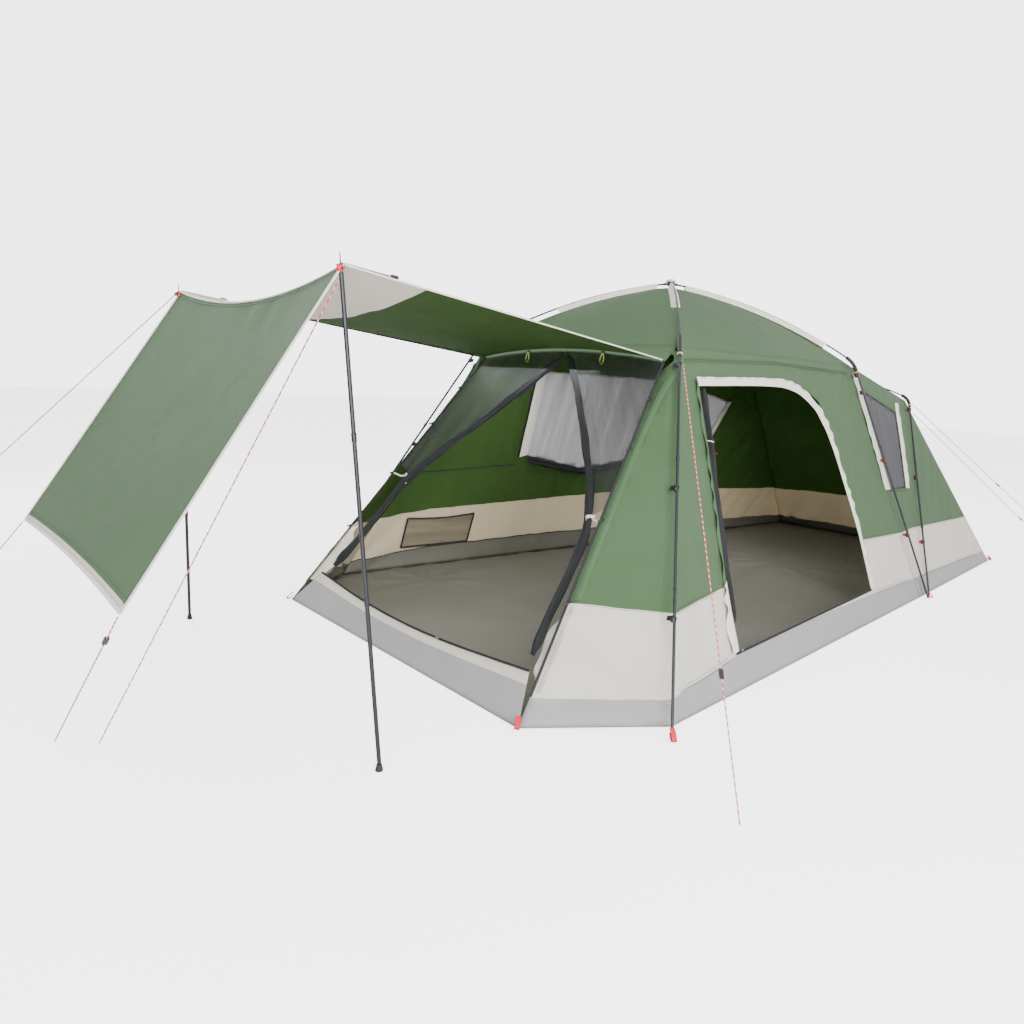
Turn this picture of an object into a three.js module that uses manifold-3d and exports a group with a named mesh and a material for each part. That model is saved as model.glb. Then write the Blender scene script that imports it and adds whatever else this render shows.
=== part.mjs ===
// A family tent with a hub-and-leg frame, a sewn-in floor, a rear room under its own arch,
// and a canopy carried forward on two porch poles. Millimetres, +Z up, the door faces -Y.
// The origin is on the ground, at the middle of the footprint's length and width.
import * as THREE from 'three';
import { mergeVertices } from 'three/addons/utils/BufferGeometryUtils.js';
import Module from 'manifold-3d';

// ---- driving dimensions -------------------------------------------------------------------

// Every point is on the right-hand side, +X. The left-hand side mirrors it.
const HUB = [0, -48, 2100];
const SHOULDER_FRONT = [812, -972, 1658];
const SHOULDER_REAR = [776, 1023, 1658];
const ROOF_CROWN = 2014; // height of the roof rods' control point, between hub and shoulder
const LEG_FOOT_FRONT = [1525, -1745, 5];
const LEG_FOOT_REAR = [1241, 1667, 5];
const ARCH_SHOULDER = [694, 2221, 1437];
const ARCH_CROWN = 1711; // height of the rear arch's control point, over the middle
const ARCH_FOOT = [1236, 1702, 5];

// The cloth's corners on the ground, from the door to the rear wall.
const NOSE = [1076, -2191];
const CORNER_FRONT = [1444, -1640];
const CORNER_REAR = [1196, 1649];
const TAIL = [1035, 3615];

// The cloth's upper corners, each just inside its elbow.
const EAVE_FRONT = [786, -950, 1640];
const EAVE_REAR = [752, 1000, 1640];
const EAVE_ARCH = [672, 2206, 1418];
const DOOR_HEAD = [735, -990, 1560];
const DOOR_HEAD_RISE = 54;

const PORCH_FOOT = [1031, -2822, 28];
const PORCH_TOP = [839, -2894, 1778];
const PORCH_TIP = 40; // the spike that stands through the canopy's eyelet
const CANOPY_FRONT_SAG = 85;
const CANOPY_EDGE_Y = 13; // clear of the pole's axis, on each side of it
const FLAP_TIP = [836, -3608, 676];
const FLAP_FOLD = 45; // how far the flap's middle bellies out

const CLOTH = 3; // thickness of a cloth solid
const SEAM_GAP = 5; // between neighbouring cloth solids
const FLOOR_TOP = 3;
const WALL_BASE = FLOOR_TOP + 1;

const ROD_RADIUS = 5.5;
const ROD_STEPS = 12;
const LEG_RADIUS = 7;
const PORCH_RADIUS = 8;
const COLLAR_EXTRA = 1.6;
const ELBOW_RADIUS = 12;
const ELBOW_ARM = 62;
const JOINT_GAP = 0.5;

const SILL_CORNER = [966, -2040, 184];
const SILL_MIDDLE = [300, -2078, 142];

const TIE_BACK = [752, -1560, 800]; // where each half of the mesh door is tied aside
const MESH_DROP = [[790, -1690, 618], [858, -1915, 330], [900, -1990, 236]];
const TIE_SPREAD = 75; // how much further out the right half hangs
const ROLL_RADIUS = 20;

const ROPE_RADIUS = 2.5;
const ROPE_SIDES = 8;
const ROPE_STEPS = 10;
const ROPE_LOW = 3; // a rope's centre line where it meets the ground
const RUNNER = [38, 15, 10];
const RUNNER_BORE = 3.8;
const ZIP_SLIDER = [24, 9, 7];

// ---- materials ----------------------------------------------------------------------------

const finish = (color, roughness, metalness = 0) =>
  new THREE.MeshStandardMaterial({ color, roughness, metalness });

const GREEN_CLOTH = finish(0x6f9070, 0.75);
const CREAM_CLOTH = finish(0xdcd6c8, 0.8);
const GREY_SHEET = finish(0x8c8b80, 0.6);
const DARK_MESH = finish(0x34373a, 0.9);
const BLACK_ROD = finish(0x1d1e20, 0.35);
const STEEL_LEG = finish(0x3a3b3e, 0.4, 0.5);
const BLACK_PLASTIC = finish(0x18191b, 0.55);
const RUBBER = finish(0x141414, 0.9);
const RED_ROPE = finish(0xd8506a, 0.8);

// ---- small geometry helpers -----------------------------------------------------------------

const wasm = await Module();
wasm.setup();

const vec = ([x, y, z = WALL_BASE]) => new THREE.Vector3(x, y, z);
const mirrored = ([x, ...rest]) => [-x, ...rest];
const sided = (point, side) => (side > 0 ? point : mirrored(point));
const mix = (a, b, t) => new THREE.Vector3().lerpVectors(a, b, t);
const line = (a, b) => new THREE.LineCurve3(vec(a), vec(b));
const bow = (a, b, c) => new THREE.QuadraticBezierCurve3(vec(a), vec(b), vec(c));

function toManifold(geometry) {
  const bare = geometry.clone();
  bare.deleteAttribute('normal');
  bare.deleteAttribute('uv');
  const merged = mergeVertices(bare, 1e-4);
  return new wasm.Manifold(new wasm.Mesh({
    numProp: 3,
    vertProperties: new Float32Array(merged.attributes.position.array),
    triVerts: new Uint32Array(merged.index.array),
  }));
}

function toGeometry(solid) {
  const { vertProperties, triVerts } = solid.getMesh();
  const geometry = new THREE.BufferGeometry();
  geometry.setAttribute('position', new THREE.BufferAttribute(vertProperties, 3));
  geometry.setIndex(new THREE.BufferAttribute(triVerts, 1));
  geometry.computeVertexNormals();
  return geometry;
}

const cut = (geometry, tool) => toGeometry(toManifold(geometry).subtract(toManifold(tool)));
const keep = (geometry, tool) => toGeometry(toManifold(geometry).intersect(toManifold(tool)));
const joined = (first, ...others) =>
  toGeometry(others.reduce((whole, next) => whole.add(toManifold(next)), toManifold(first)));

function signedVolume(positions, index) {
  const corner = (i) => new THREE.Vector3().fromArray(positions, 3 * index[i]);
  let volume = 0;
  for (let i = 0; i < index.length; i += 3) {
    volume += corner(i).dot(corner(i + 1).cross(corner(i + 2)));
  }
  return volume;
}

/** A closed cloth solid: surface(u, v), for u and v from 0 to 1, given a thickness. */
function cloth(surface, columns, rows, thickness = CLOTH) {
  const step = 1e-3;
  const positions = [];
  for (const face of [1, -1]) {
    for (let j = 0; j <= rows; j += 1) {
      for (let i = 0; i <= columns; i += 1) {
        const [u, v] = [i / columns, j / rows];
        const across = surface(Math.min(u + step, 1), v).sub(surface(Math.max(u - step, 0), v));
        const along = surface(u, Math.min(v + step, 1)).sub(surface(u, Math.max(v - step, 0)));
        const normal = across.cross(along).normalize();
        positions.push(...surface(u, v).addScaledVector(normal, face * thickness / 2).toArray());
      }
    }
  }
  const width = columns + 1;
  const back = width * (rows + 1);
  const index = [];
  const quad = (a, b, c, d) => index.push(a, b, c, a, c, d);
  for (let j = 0; j < rows; j += 1) {
    for (let i = 0; i < columns; i += 1) {
      const a = j * width + i;
      quad(a, a + 1, a + 1 + width, a + width);
      quad(back + a, back + a + width, back + a + 1 + width, back + a + 1);
    }
  }
  for (let i = 0; i < columns; i += 1) {
    const top = rows * width + i;
    quad(i + 1, i, back + i, back + i + 1);
    quad(top, top + 1, back + top + 1, back + top);
  }
  for (let j = 0; j < rows; j += 1) {
    const near = j * width;
    const far = near + columns;
    quad(near, near + width, back + near + width, back + near);
    quad(far + width, far, back + far, back + far + width);
  }
  if (signedVolume(positions, index) < 0) index.reverse();
  const geometry = new THREE.BufferGeometry();
  geometry.setAttribute('position', new THREE.Float32BufferAttribute(positions, 3));
  geometry.setIndex(index);
  geometry.computeVertexNormals();
  return geometry;
}

/** Cloth stretched between two edge curves, held back from its neighbours on all four sides. */
function between(edgeA, edgeB, { columns = 1, rows = 1, belly = null, trim = [1, 1, 1, 1] } = {}) {
  const gapU = SEAM_GAP / Math.min(edgeA.getLength(), edgeB.getLength());
  const gapV = SEAM_GAP / edgeA.getPoint(0.5).distanceTo(edgeB.getPoint(0.5));
  const [u0, u1, v0, v1] = [trim[0] * gapU, 1 - trim[1] * gapU, trim[2] * gapV, 1 - trim[3] * gapV];
  return cloth((s, t) => {
    const u = THREE.MathUtils.lerp(u0, u1, s);
    const v = THREE.MathUtils.lerp(v0, v1, t);
    const point = mix(edgeA.getPoint(u), edgeB.getPoint(u), v);
    return belly ? point.add(belly(u, v)) : point;
  }, columns, rows);
}

function circle(radius, sides) {
  const shape = new THREE.Shape();
  for (let i = 0; i < sides; i += 1) {
    const angle = (2 * Math.PI * i) / sides;
    const [x, y] = [radius * Math.cos(angle), radius * Math.sin(angle)];
    if (i === 0) shape.moveTo(x, y);
    else shape.lineTo(x, y);
  }
  shape.closePath();
  return shape;
}

function tube(curve, radius, steps, sides = 10) {
  return new THREE.ExtrudeGeometry(circle(radius, sides), {
    steps, bevelEnabled: false, extrudePath: curve,
  });
}

/** A YZ outline made into a block that passes through the tent's side, along X. */
function sideways(outline, side, depth = 1600) {
  const shape = new THREE.Shape(outline.map(([y, z]) => new THREE.Vector2(y, z)));
  const geometry = new THREE.ExtrudeGeometry(shape, { depth, bevelEnabled: false });
  geometry.applyMatrix4(new THREE.Matrix4().set(
    0, 0, 1, side > 0 ? 0 : -depth,
    1, 0, 0, 0,
    0, 1, 0, 0,
    0, 0, 0, 1,
  ));
  return geometry;
}

/** The same outline with its straight sides moved inwards by a gap. */
function inset(outline, gap) {
  const centre = outline
    .reduce(([sy, sz], [y, z]) => [sy + y, sz + z], [0, 0])
    .map((sum) => sum / outline.length);
  return outline.map(([y, z]) => {
    const reach = Math.hypot(y - centre[0], z - centre[1]);
    const share = 1 - (1.6 * gap) / reach;
    return [centre[0] + share * (y - centre[0]), centre[1] + share * (z - centre[1])];
  });
}

// ---- the scene graph ------------------------------------------------------------------------

const tent = new THREE.Group();

function add(name, geometry, material) {
  const mesh = new THREE.Mesh(geometry, material);
  mesh.name = name;
  tent.add(mesh);
  return mesh;
}

/** Stands a piece that was made along +Y so that it runs from one point towards another. */
function aim(mesh, from, to) {
  const heading = vec(to).sub(vec(from)).normalize();
  mesh.position.copy(vec(from));
  mesh.quaternion.setFromUnitVectors(new THREE.Vector3(0, 1, 0), heading);
}

const SIDES = [['right', 1], ['left', -1]];

/** A round pole along +Y, with a swaged collar at each joint between its sections. */
function pole(length, radius, joints, sides = 10) {
  const profile = [[0, 0], [radius, 0]];
  for (const share of joints) {
    const y = share * length;
    const wide = radius + COLLAR_EXTRA;
    profile.push([radius, y - 16], [wide, y - 14], [wide, y + 14], [radius, y + 16]);
  }
  profile.push([radius, length], [0, length]);
  return new THREE.LatheGeometry(profile.map(([x, y]) => new THREE.Vector2(x, y)), sides);
}

function shoulderElbow(shoulder, rodControl, foot) {
  const corner = vec(shoulder);
  const towardRod = vec(rodControl).sub(corner).normalize();
  const towardFoot = vec(foot).sub(corner).normalize();
  const rodEnd = corner.clone().addScaledVector(towardRod, ELBOW_ARM);
  const legEnd = corner.clone().addScaledVector(towardFoot, ELBOW_ARM);
  return {
    geometry: tube(new THREE.QuadraticBezierCurve3(rodEnd, corner, legEnd), ELBOW_RADIUS, 6),
    rodEnd: corner.clone().addScaledVector(towardRod, ELBOW_ARM + JOINT_GAP).toArray(),
    legEnd: corner.clone().addScaledVector(towardFoot, ELBOW_ARM + JOINT_GAP).toArray(),
  };
}

function addLeg(name, top, foot, joints) {
  const length = vec(top).distanceTo(vec(foot));
  aim(add(name, pole(length, LEG_RADIUS, joints), STEEL_LEG), foot, top);
}

// The main frame: a hub, four roof rods, four elbows and four legs.
const HUB_SOCKET = 46;
const hubParts = [new THREE.LatheGeometry([
  [0, -16], [20, -16], [24, -8], [24, 6], [14, 14], [0, 15],
].map(([x, y]) => new THREE.Vector2(x, y)), 14)];
hubParts[0].rotateX(Math.PI / 2);
hubParts[0].translate(...HUB);

for (const [end, shoulder, foot] of [
  ['front', SHOULDER_FRONT, LEG_FOOT_FRONT],
  ['rear', SHOULDER_REAR, LEG_FOOT_REAR],
]) {
  for (const [hand, side] of SIDES) {
    const control = [side * shoulder[0] / 2, (HUB[1] + shoulder[1]) / 2, ROOF_CROWN];
    const elbow = shoulderElbow(sided(shoulder, side), control, sided(foot, side));
    const heading = vec(control).sub(vec(HUB)).normalize();
    const socketEnd = vec(HUB).addScaledVector(heading, HUB_SOCKET);
    const rodStart = vec(HUB).addScaledVector(heading, HUB_SOCKET + JOINT_GAP).toArray();
    hubParts.push(tube(new THREE.LineCurve3(vec(HUB), socketEnd), 9, 1, 10));
    add(`roof_rod_${end}_${hand}`,
      tube(bow(rodStart, control, elbow.rodEnd), ROD_RADIUS, ROD_STEPS, 8), BLACK_ROD);
    add(`shoulder_elbow_${end}_${hand}`, elbow.geometry, BLACK_PLASTIC);
    addLeg(`${end}_${hand}_leg`, elbow.legEnd, sided(foot, side), [0.31, 0.68]);
  }
}
add('roof_hub', joined(...hubParts), BLACK_PLASTIC);

// The rear arch: one bowed rod, two elbows and two legs that share the rear legs' feet.
const archControl = [0, ARCH_SHOULDER[1], ARCH_CROWN];
const archEnds = [];
for (const [hand, side] of SIDES) {
  const foot = sided(ARCH_FOOT, side);
  const elbow = shoulderElbow(sided(ARCH_SHOULDER, side), archControl, foot);
  archEnds.push(elbow.rodEnd);
  add(`rear_arch_elbow_${hand}`, elbow.geometry, BLACK_PLASTIC);
  addLeg(`rear_arch_leg_${hand}`, elbow.legEnd, foot, [0.35, 0.68]);
}
add('rear_arch_rod', tube(bow(archEnds[0], archControl, archEnds[1]), ROD_RADIUS, ROD_STEPS, 8),
  BLACK_ROD);

// The porch poles stand free on rubber feet. Each tip passes through the canopy's corner.
const FOOT_PROFILE = [[0, 0], [14, 0], [15, 4], [11, 20], [10, 26], [0, 26]];
for (const [hand, side] of SIDES) {
  const foot = sided(PORCH_FOOT, side);
  const top = sided(PORCH_TOP, side);
  const length = vec(foot).distanceTo(vec(top));
  const shaft = pole(length, PORCH_RADIUS, [0.34, 0.67]);
  const tip = new THREE.CylinderGeometry(1.5, 3, PORCH_TIP + 6, 10);
  tip.translate(0, length + PORCH_TIP / 2 - 3, 0);
  aim(add(`porch_pole_${hand}`, joined(shaft, tip), BLACK_ROD), foot, top);
  const shoe = new THREE.LatheGeometry(FOOT_PROFILE.map(([x, y]) => new THREE.Vector2(x, y)), 16);
  shoe.rotateX(Math.PI / 2);
  add(`porch_pole_foot_${hand}`, shoe, RUBBER).position.set(foot[0], foot[1], 0);
}

// The groundsheet lies on the ground under the walls.
const floorCorners = [NOSE, CORNER_FRONT, CORNER_REAR, TAIL];
const floorOutline = [...floorCorners, ...floorCorners.map(mirrored).reverse()];
add('groundsheet', new THREE.ExtrudeGeometry(
  new THREE.Shape(floorOutline.map(([x, y]) => new THREE.Vector2(x, y))),
  { depth: FLOOR_TOP, bevelEnabled: false },
), GREY_SHEET);

// The low sill across the doorway, higher at its two ends.
const sillTop = new THREE.CurvePath();
[mirrored(SILL_CORNER), mirrored(SILL_MIDDLE), SILL_MIDDLE, SILL_CORNER].forEach((point, i, all) => {
  if (i > 0) sillTop.add(line(all[i - 1], point));
});
const sillFoot = new THREE.CurvePath();
const sillShares = sillTop.getCurveLengths().map((length) => length / sillTop.getLength());
[0, ...sillShares].forEach((share, i, all) => {
  const footAt = (t) => [THREE.MathUtils.lerp(-NOSE[0], NOSE[0], t), NOSE[1]];
  if (i > 0) sillFoot.add(line(footAt(all[i - 1]), footAt(share)));
});
add('front_sill', between(sillFoot, sillTop, { columns: 12, rows: 1 }), CREAM_CLOTH);

// The wedge panels beside the doorway.
for (const [hand, side] of SIDES) {
  const doorEdge = line(sided(NOSE, side), sided(DOOR_HEAD, side));
  const legEdge = line(sided(CORNER_FRONT, side), sided(EAVE_FRONT, side));
  add(`front_wedge_panel_${hand}`, between(doorEdge, legEdge, { columns: 4, rows: 2 }),
    GREEN_CLOTH);
}

// The side walls. The right one has the side door, the left one has the big window.
const DOOR_SILL_FRONT = [-1021, 165];
const DOOR_SILL_REAR = [760, 190];
const sideDoor = [
  DOOR_SILL_FRONT, DOOR_SILL_REAR, [724, 508], [640, 830], [612, 1062], [560, 1260],
  [470, 1385], [330, 1452], [165, 1474], [-80, 1480], [-845, 1470],
];
const sideWindow = [[-345, 1489], [-290, 872], [307, 748], [800, 800], [880, 1480]];

function sideWall(side) {
  const foot = line(sided(CORNER_FRONT, side), sided(CORNER_REAR, side));
  const eave = line(sided(EAVE_FRONT, side), sided(EAVE_REAR, side));
  return between(foot, eave, { columns: 4, rows: 3 });
}

/** A point beside a side wall: on it at this length and height, then moved in towards the room. */
function besideWall(side, y, z, setback) {
  const rise = (z - WALL_BASE) / (EAVE_FRONT[2] - WALL_BASE);
  const front = mix(vec(CORNER_FRONT), vec(EAVE_FRONT), rise);
  const rear = mix(vec(CORNER_REAR), vec(EAVE_REAR), rise);
  const x = THREE.MathUtils.mapLinear(y, front.y, rear.y, front.x, rear.x);
  return [side * (x - setback), y, z];
}
add('right_side_wall', cut(sideWall(1), sideways(sideDoor, 1)), GREEN_CLOTH);
add('left_side_wall', cut(sideWall(-1), sideways(sideWindow, -1)), GREEN_CLOTH);
add('left_window_mesh', keep(sideWall(-1), sideways(inset(sideWindow, 2), -1)), DARK_MESH);

// The rear room's walls, each with a mesh window, and its sloping rear wall.
const rearWindow = [[1160, 1480], [1402, 786], [1749, 773], [1873, 1323]];
for (const [hand, side] of SIDES) {
  const wall = between(
    line(sided(CORNER_REAR, side), sided(EAVE_REAR, side)),
    line(sided(TAIL, side), sided(EAVE_ARCH, side)),
    { columns: 3, rows: 3 },
  );
  add(`rear_room_wall_${hand}`, cut(wall, sideways(rearWindow, side)), GREEN_CLOTH);
  add(`rear_window_mesh_${hand}`, keep(wall, sideways(inset(rearWindow, 2), side)), DARK_MESH);
}
const archEave = bow(mirrored(EAVE_ARCH), [0, EAVE_ARCH[1], ARCH_CROWN - 34], EAVE_ARCH);
const tailLine = line(mirrored(TAIL), TAIL);
add('rear_wall', between(tailLine, archEave, { columns: 8, rows: 3 }), GREEN_CLOTH);

// The roof: four panels from the hub down to the eaves, and a saddle over the rear room.
const ROOF_DROP = 20; // the roof cloth hangs this far under the rods' centre lines
function ridge(eave) {
  const control = [eave[0] / 2, (HUB[1] + eave[1]) / 2, ROOF_CROWN - ROOF_DROP];
  const hub = vec([HUB[0], HUB[1], HUB[2] - ROOF_DROP - 6]);
  return new THREE.QuadraticBezierCurve3(hub, vec(control), vec(eave));
}
const HUB_CLEAR = 12; // in seam gaps, so that the panels' tips stay apart
const roofTrim = [HUB_CLEAR, 1, 1, 1];
function roofPanel(name, eaveA, eaveB) {
  const swell = (u, v) => new THREE.Vector3(0, 0, 12 * Math.sin(Math.PI * u) * Math.sin(Math.PI * v));
  add(name, between(ridge(eaveA), ridge(eaveB), { columns: 8, rows: 4, belly: swell, trim: roofTrim }),
    GREEN_CLOTH);
}
roofPanel('roof_panel_front', mirrored(EAVE_FRONT), EAVE_FRONT);
roofPanel('roof_panel_rear', EAVE_REAR, mirrored(EAVE_REAR));
roofPanel('roof_panel_right', EAVE_FRONT, EAVE_REAR);
roofPanel('roof_panel_left', mirrored(EAVE_REAR), mirrored(EAVE_FRONT));
const rearEave = line(mirrored(EAVE_REAR), EAVE_REAR);
add('rear_room_roof', between(rearEave, archEave, {
  columns: 8,
  rows: 3,
  belly: (u, v) => new THREE.Vector3(0, 0, -28 * Math.sin(Math.PI * u) * Math.sin(Math.PI * v)),
}), GREEN_CLOTH);

// The canopy runs from the door head to the porch poles, and the flap hangs from its front edge.
const headMiddle = [0, DOOR_HEAD[1] - 20, DOOR_HEAD[2] + 2 * DOOR_HEAD_RISE];
const doorHead = bow(mirrored(DOOR_HEAD), headMiddle, DOOR_HEAD);
function porchEdge(y) {
  const corner = [PORCH_TOP[0], y, PORCH_TOP[2]];
  return bow(mirrored(corner), [0, y, PORCH_TOP[2] - 2 * CANOPY_FRONT_SAG], corner);
}
const canopyEdge = porchEdge(PORCH_TOP[1] + CANOPY_EDGE_Y);
const canopySag = (u, v) =>
  new THREE.Vector3(0, 0, -30 * Math.sin(Math.PI * u) * Math.sin(Math.PI * v));
add('canopy', between(doorHead, canopyEdge, {
  columns: 8, rows: 6, belly: canopySag, trim: [1, 1, 5, 0],
}), GREEN_CLOTH);

const flapTop = porchEdge(PORCH_TOP[1] - CANOPY_EDGE_Y);
const flapHem = bow(mirrored(FLAP_TIP), [0, FLAP_TIP[1] + 30, FLAP_TIP[2] + 20], FLAP_TIP);
const flapBelly = (u, v) => {
  const bulge = FLAP_FOLD * Math.sin(Math.PI * u) * Math.sin(Math.PI * v);
  return new THREE.Vector3(0, bulge * 0.84, -bulge * 0.55);
};
add('porch_flap', between(flapTop, flapHem, {
  columns: 8, rows: 6, belly: flapBelly, trim: [1, 1, 0, 0],
}), GREEN_CLOTH);

// The two halves of the mesh door, drawn aside like curtains and tied back.
const MESH_SETBACK = 34; // behind the doorway's edge
for (const [hand, side] of SIDES) {
  const start = [26, DOOR_HEAD[1] + 22, DOOR_HEAD[2] + DOOR_HEAD_RISE - 40];
  const spread = side > 0 ? TIE_SPREAD : 0;
  const tie = [TIE_BACK[0] + spread, TIE_BACK[1], TIE_BACK[2]];
  const drop = [
    start, [250 + spread * 0.33, -1130, 1345], [520 + spread * 0.67, -1340, 1060], tie,
    ...MESH_DROP.map(([x, y, z], index) => [x + spread * [1, 0.7, 0.4][index], y, z]),
  ];
  const roll = new THREE.CatmullRomCurve3(drop.map((point) => vec(sided(point, side))));
  const head = [DOOR_HEAD[0] - 26, DOOR_HEAD[1] + MESH_SETBACK, DOOR_HEAD[2] - 36];
  const outer = line(sided(head, side), sided([tie[0] + 50 - spread * 0.3, tie[1] + 14, tie[2]], side));
  const inner = line(sided([start[0] + 10, start[1], start[2]], side), sided(tie, side));
  const sheet = between(inner, outer, { columns: 4, rows: 2, trim: [0, 0, 0, 1] });
  add(`mesh_curtain_${hand}`, joined(tube(roll, ROLL_RADIUS, 16, 8), sheet), DARK_MESH);
}

// Rolled and hung pieces on the side walls.
const ROLL_SETBACK = 30;
const doorRoll = line(besideWall(1, -770, 1425, ROLL_SETBACK), besideWall(1, -965, 260, ROLL_SETBACK));
add('side_door_roll', tube(doorRoll, ROLL_RADIUS, 6, 10), DARK_MESH);
const windowRoll = [[-300, 835], [0, 772], [300, 715], [560, 738], [800, 768]];
add('left_window_roll', tube(new THREE.CatmullRomCurve3(
  windowRoll.map(([y, z]) => vec(besideWall(-1, y, z, ROLL_SETBACK))),
), ROLL_RADIUS, 12, 8), DARK_MESH);

const POCKET_SETBACK = 18;
const pocketEdge = (y) =>
  line(besideWall(-1, y, 410, POCKET_SETBACK), besideWall(-1, y, 178, POCKET_SETBACK));
add('organiser_pocket', between(pocketEdge(-1230), pocketEdge(-655), { columns: 2, rows: 3 }),
  DARK_MESH);

// The guy ropes, each with its runner where it has one.
function rope(name, points) {
  add(name, tube(new THREE.CatmullRomCurve3(points.map(vec), false, 'chordal'), ROPE_RADIUS,
    ROPE_STEPS, ROPE_SIDES), RED_ROPE);
}

/** A flat block along X with a bore for the rope, turned to lie along the rope. */
function runner(name, from, to, distance) {
  const block = new THREE.BoxGeometry(RUNNER[0], RUNNER[1], RUNNER[2]);
  const bore = new THREE.CylinderGeometry(RUNNER_BORE, RUNNER_BORE, RUNNER[0] + 4, 16);
  bore.rotateZ(Math.PI / 2);
  const heading = vec(to).sub(vec(from)).normalize();
  const mesh = add(name, cut(block, bore), BLACK_PLASTIC);
  mesh.quaternion.setFromUnitVectors(new THREE.Vector3(1, 0, 0), heading);
  mesh.position.copy(vec(from).addScaledVector(heading, distance));
}

const PORCH_RIGHT_ROPE = [[836, -2880, 1758], [254, -3565, ROPE_LOW]];
const PORCH_LEFT_ROPE = [[-853, -2904, 1764], [-1956, -4396, ROPE_LOW]];
const FLAP_RIGHT_ROPE = [[832, -3616, 664], [145, -3691, ROPE_LOW]];
const FLAP_LEFT_ROPE = [[-842, -3616, 664], [-1511, -3951, ROPE_LOW]];
const FRONT_LEG_ROPE = [[872, -1010, 1540], [2030, -2042, ROPE_LOW]];
const REAR_UPPER_ROPE = [[718, 2246, 1392], [1690, 4094, ROPE_LOW]];
const REAR_LOWER_ROPE = [[738, 2232, 1322], [1618, 3917, ROPE_LOW]];
rope('guy_rope_porch_right', PORCH_RIGHT_ROPE);
rope('guy_rope_porch_left', PORCH_LEFT_ROPE);
rope('guy_rope_flap_right', FLAP_RIGHT_ROPE);
rope('guy_rope_flap_left', FLAP_LEFT_ROPE);
rope('guy_rope_front_leg', FRONT_LEG_ROPE);
rope('guy_rope_rear_upper', REAR_UPPER_ROPE);
rope('guy_rope_rear_lower', REAR_LOWER_ROPE);
runner('rope_runner_flap', ...FLAP_RIGHT_ROPE, 150);
runner('rope_runner_front_leg', ...FRONT_LEG_ROPE, 1650);
runner('rope_runner_rear_upper', ...REAR_UPPER_ROPE, 1150);
runner('rope_runner_rear_lower', ...REAR_LOWER_ROPE, 1500);

// The zip sliders stand on the two sills, each on the straight run that it closes.
function zipSlider(name, from, to, distance, lift) {
  const heading = vec(to).sub(vec(from)).normalize();
  const mesh = add(name, new THREE.BoxGeometry(...ZIP_SLIDER), BLACK_PLASTIC);
  mesh.quaternion.setFromUnitVectors(new THREE.Vector3(1, 0, 0), heading);
  mesh.position.copy(vec(from).addScaledVector(heading, distance));
  mesh.position.z += lift;
}
const SLIDER_LIFT = 8;
zipSlider('front_sill_zip_slider', SILL_MIDDLE, SILL_CORNER, 30, SLIDER_LIFT);
zipSlider('side_door_zip_slider', besideWall(1, ...DOOR_SILL_FRONT, 0),
  besideWall(1, ...DOOR_SILL_REAR, 0), 60, SLIDER_LIFT);

export default tent;
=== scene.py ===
"""A family tent with an open porch: the cloth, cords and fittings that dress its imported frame.

Lengths are in metres, +Z is up, the doorway faces -Y and the side door is on +X.
"""

import logging
import math
from collections.abc import Callable, Sequence
from dataclasses import dataclass, field
from enum import Enum

import bpy
import numpy as np
from mathutils import Matrix, Vector, geometry, noise


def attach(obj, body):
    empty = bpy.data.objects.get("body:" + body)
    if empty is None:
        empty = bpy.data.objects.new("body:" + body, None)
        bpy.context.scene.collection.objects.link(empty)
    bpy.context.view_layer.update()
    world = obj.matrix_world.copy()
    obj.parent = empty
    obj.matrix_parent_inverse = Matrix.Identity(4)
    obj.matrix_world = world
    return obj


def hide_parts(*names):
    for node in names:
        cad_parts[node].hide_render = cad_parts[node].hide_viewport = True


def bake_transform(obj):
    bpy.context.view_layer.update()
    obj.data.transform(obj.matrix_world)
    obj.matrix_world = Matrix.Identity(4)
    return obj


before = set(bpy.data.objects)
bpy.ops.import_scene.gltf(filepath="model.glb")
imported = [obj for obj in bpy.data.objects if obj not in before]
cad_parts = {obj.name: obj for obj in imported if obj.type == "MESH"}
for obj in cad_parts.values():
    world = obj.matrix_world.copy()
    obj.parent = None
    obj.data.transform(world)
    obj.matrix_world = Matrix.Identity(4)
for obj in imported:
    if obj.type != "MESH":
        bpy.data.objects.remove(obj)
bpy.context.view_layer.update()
log = logging.getLogger("tent")

Point2 = tuple[float, float]
Place = Callable[[float, float], Vector]

# Driving points of the frame, the right-hand one of each pair.
HUB = Vector((0.0, -0.048, 2.100))
SHOULDER_FRONT = Vector((0.812, -0.972, 1.658))
SHOULDER_REAR = Vector((0.776, 1.023, 1.658))
LEG_FOOT_FRONT = Vector((1.525, -1.745, 0.005))
LEG_FOOT_REAR = Vector((1.241, 1.667, 0.005))
ARCH_SHOULDER = Vector((0.694, 2.221, 1.437))
ARCH_FOOT = Vector((1.236, 1.702, 0.005))
ROD_CROWN = 2.014
NOSE = Vector((1.076, -2.191, 0.004))
CORNER_FRONT = Vector((1.444, -1.640, 0.004))
CORNER_REAR = Vector((1.196, 1.649, 0.004))
TAIL = Vector((1.035, 3.615, 0.004))
EAVE_FRONT = Vector((0.786, -0.950, 1.640))
EAVE_REAR = Vector((0.752, 1.000, 1.640))
EAVE_ARCH = Vector((0.672, 2.206, 1.418))
EAVE_ARCH_CROWN = Vector((0.0, 2.206, 1.677))
DOOR_HEAD = Vector((0.735, -0.990, 1.560))
DOOR_HEAD_CROWN = Vector((0.0, -1.010, 1.668))
PORCH_TOP = Vector((0.839, -2.894, 1.778))
PORCH_SAG = 1.608
FLAP_TIP = Vector((0.836, -3.608, 0.676))
FLAP_CROWN = Vector((0.0, -3.578, 0.696))
SILL_CORNER = Vector((0.966, -2.040, 0.184))
SILL_MIDDLE = Vector((0.300, -2.078, 0.142))
TIE_BACK = Vector((0.752, -1.560, 0.800))
TIE_SPREAD = 0.075
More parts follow.
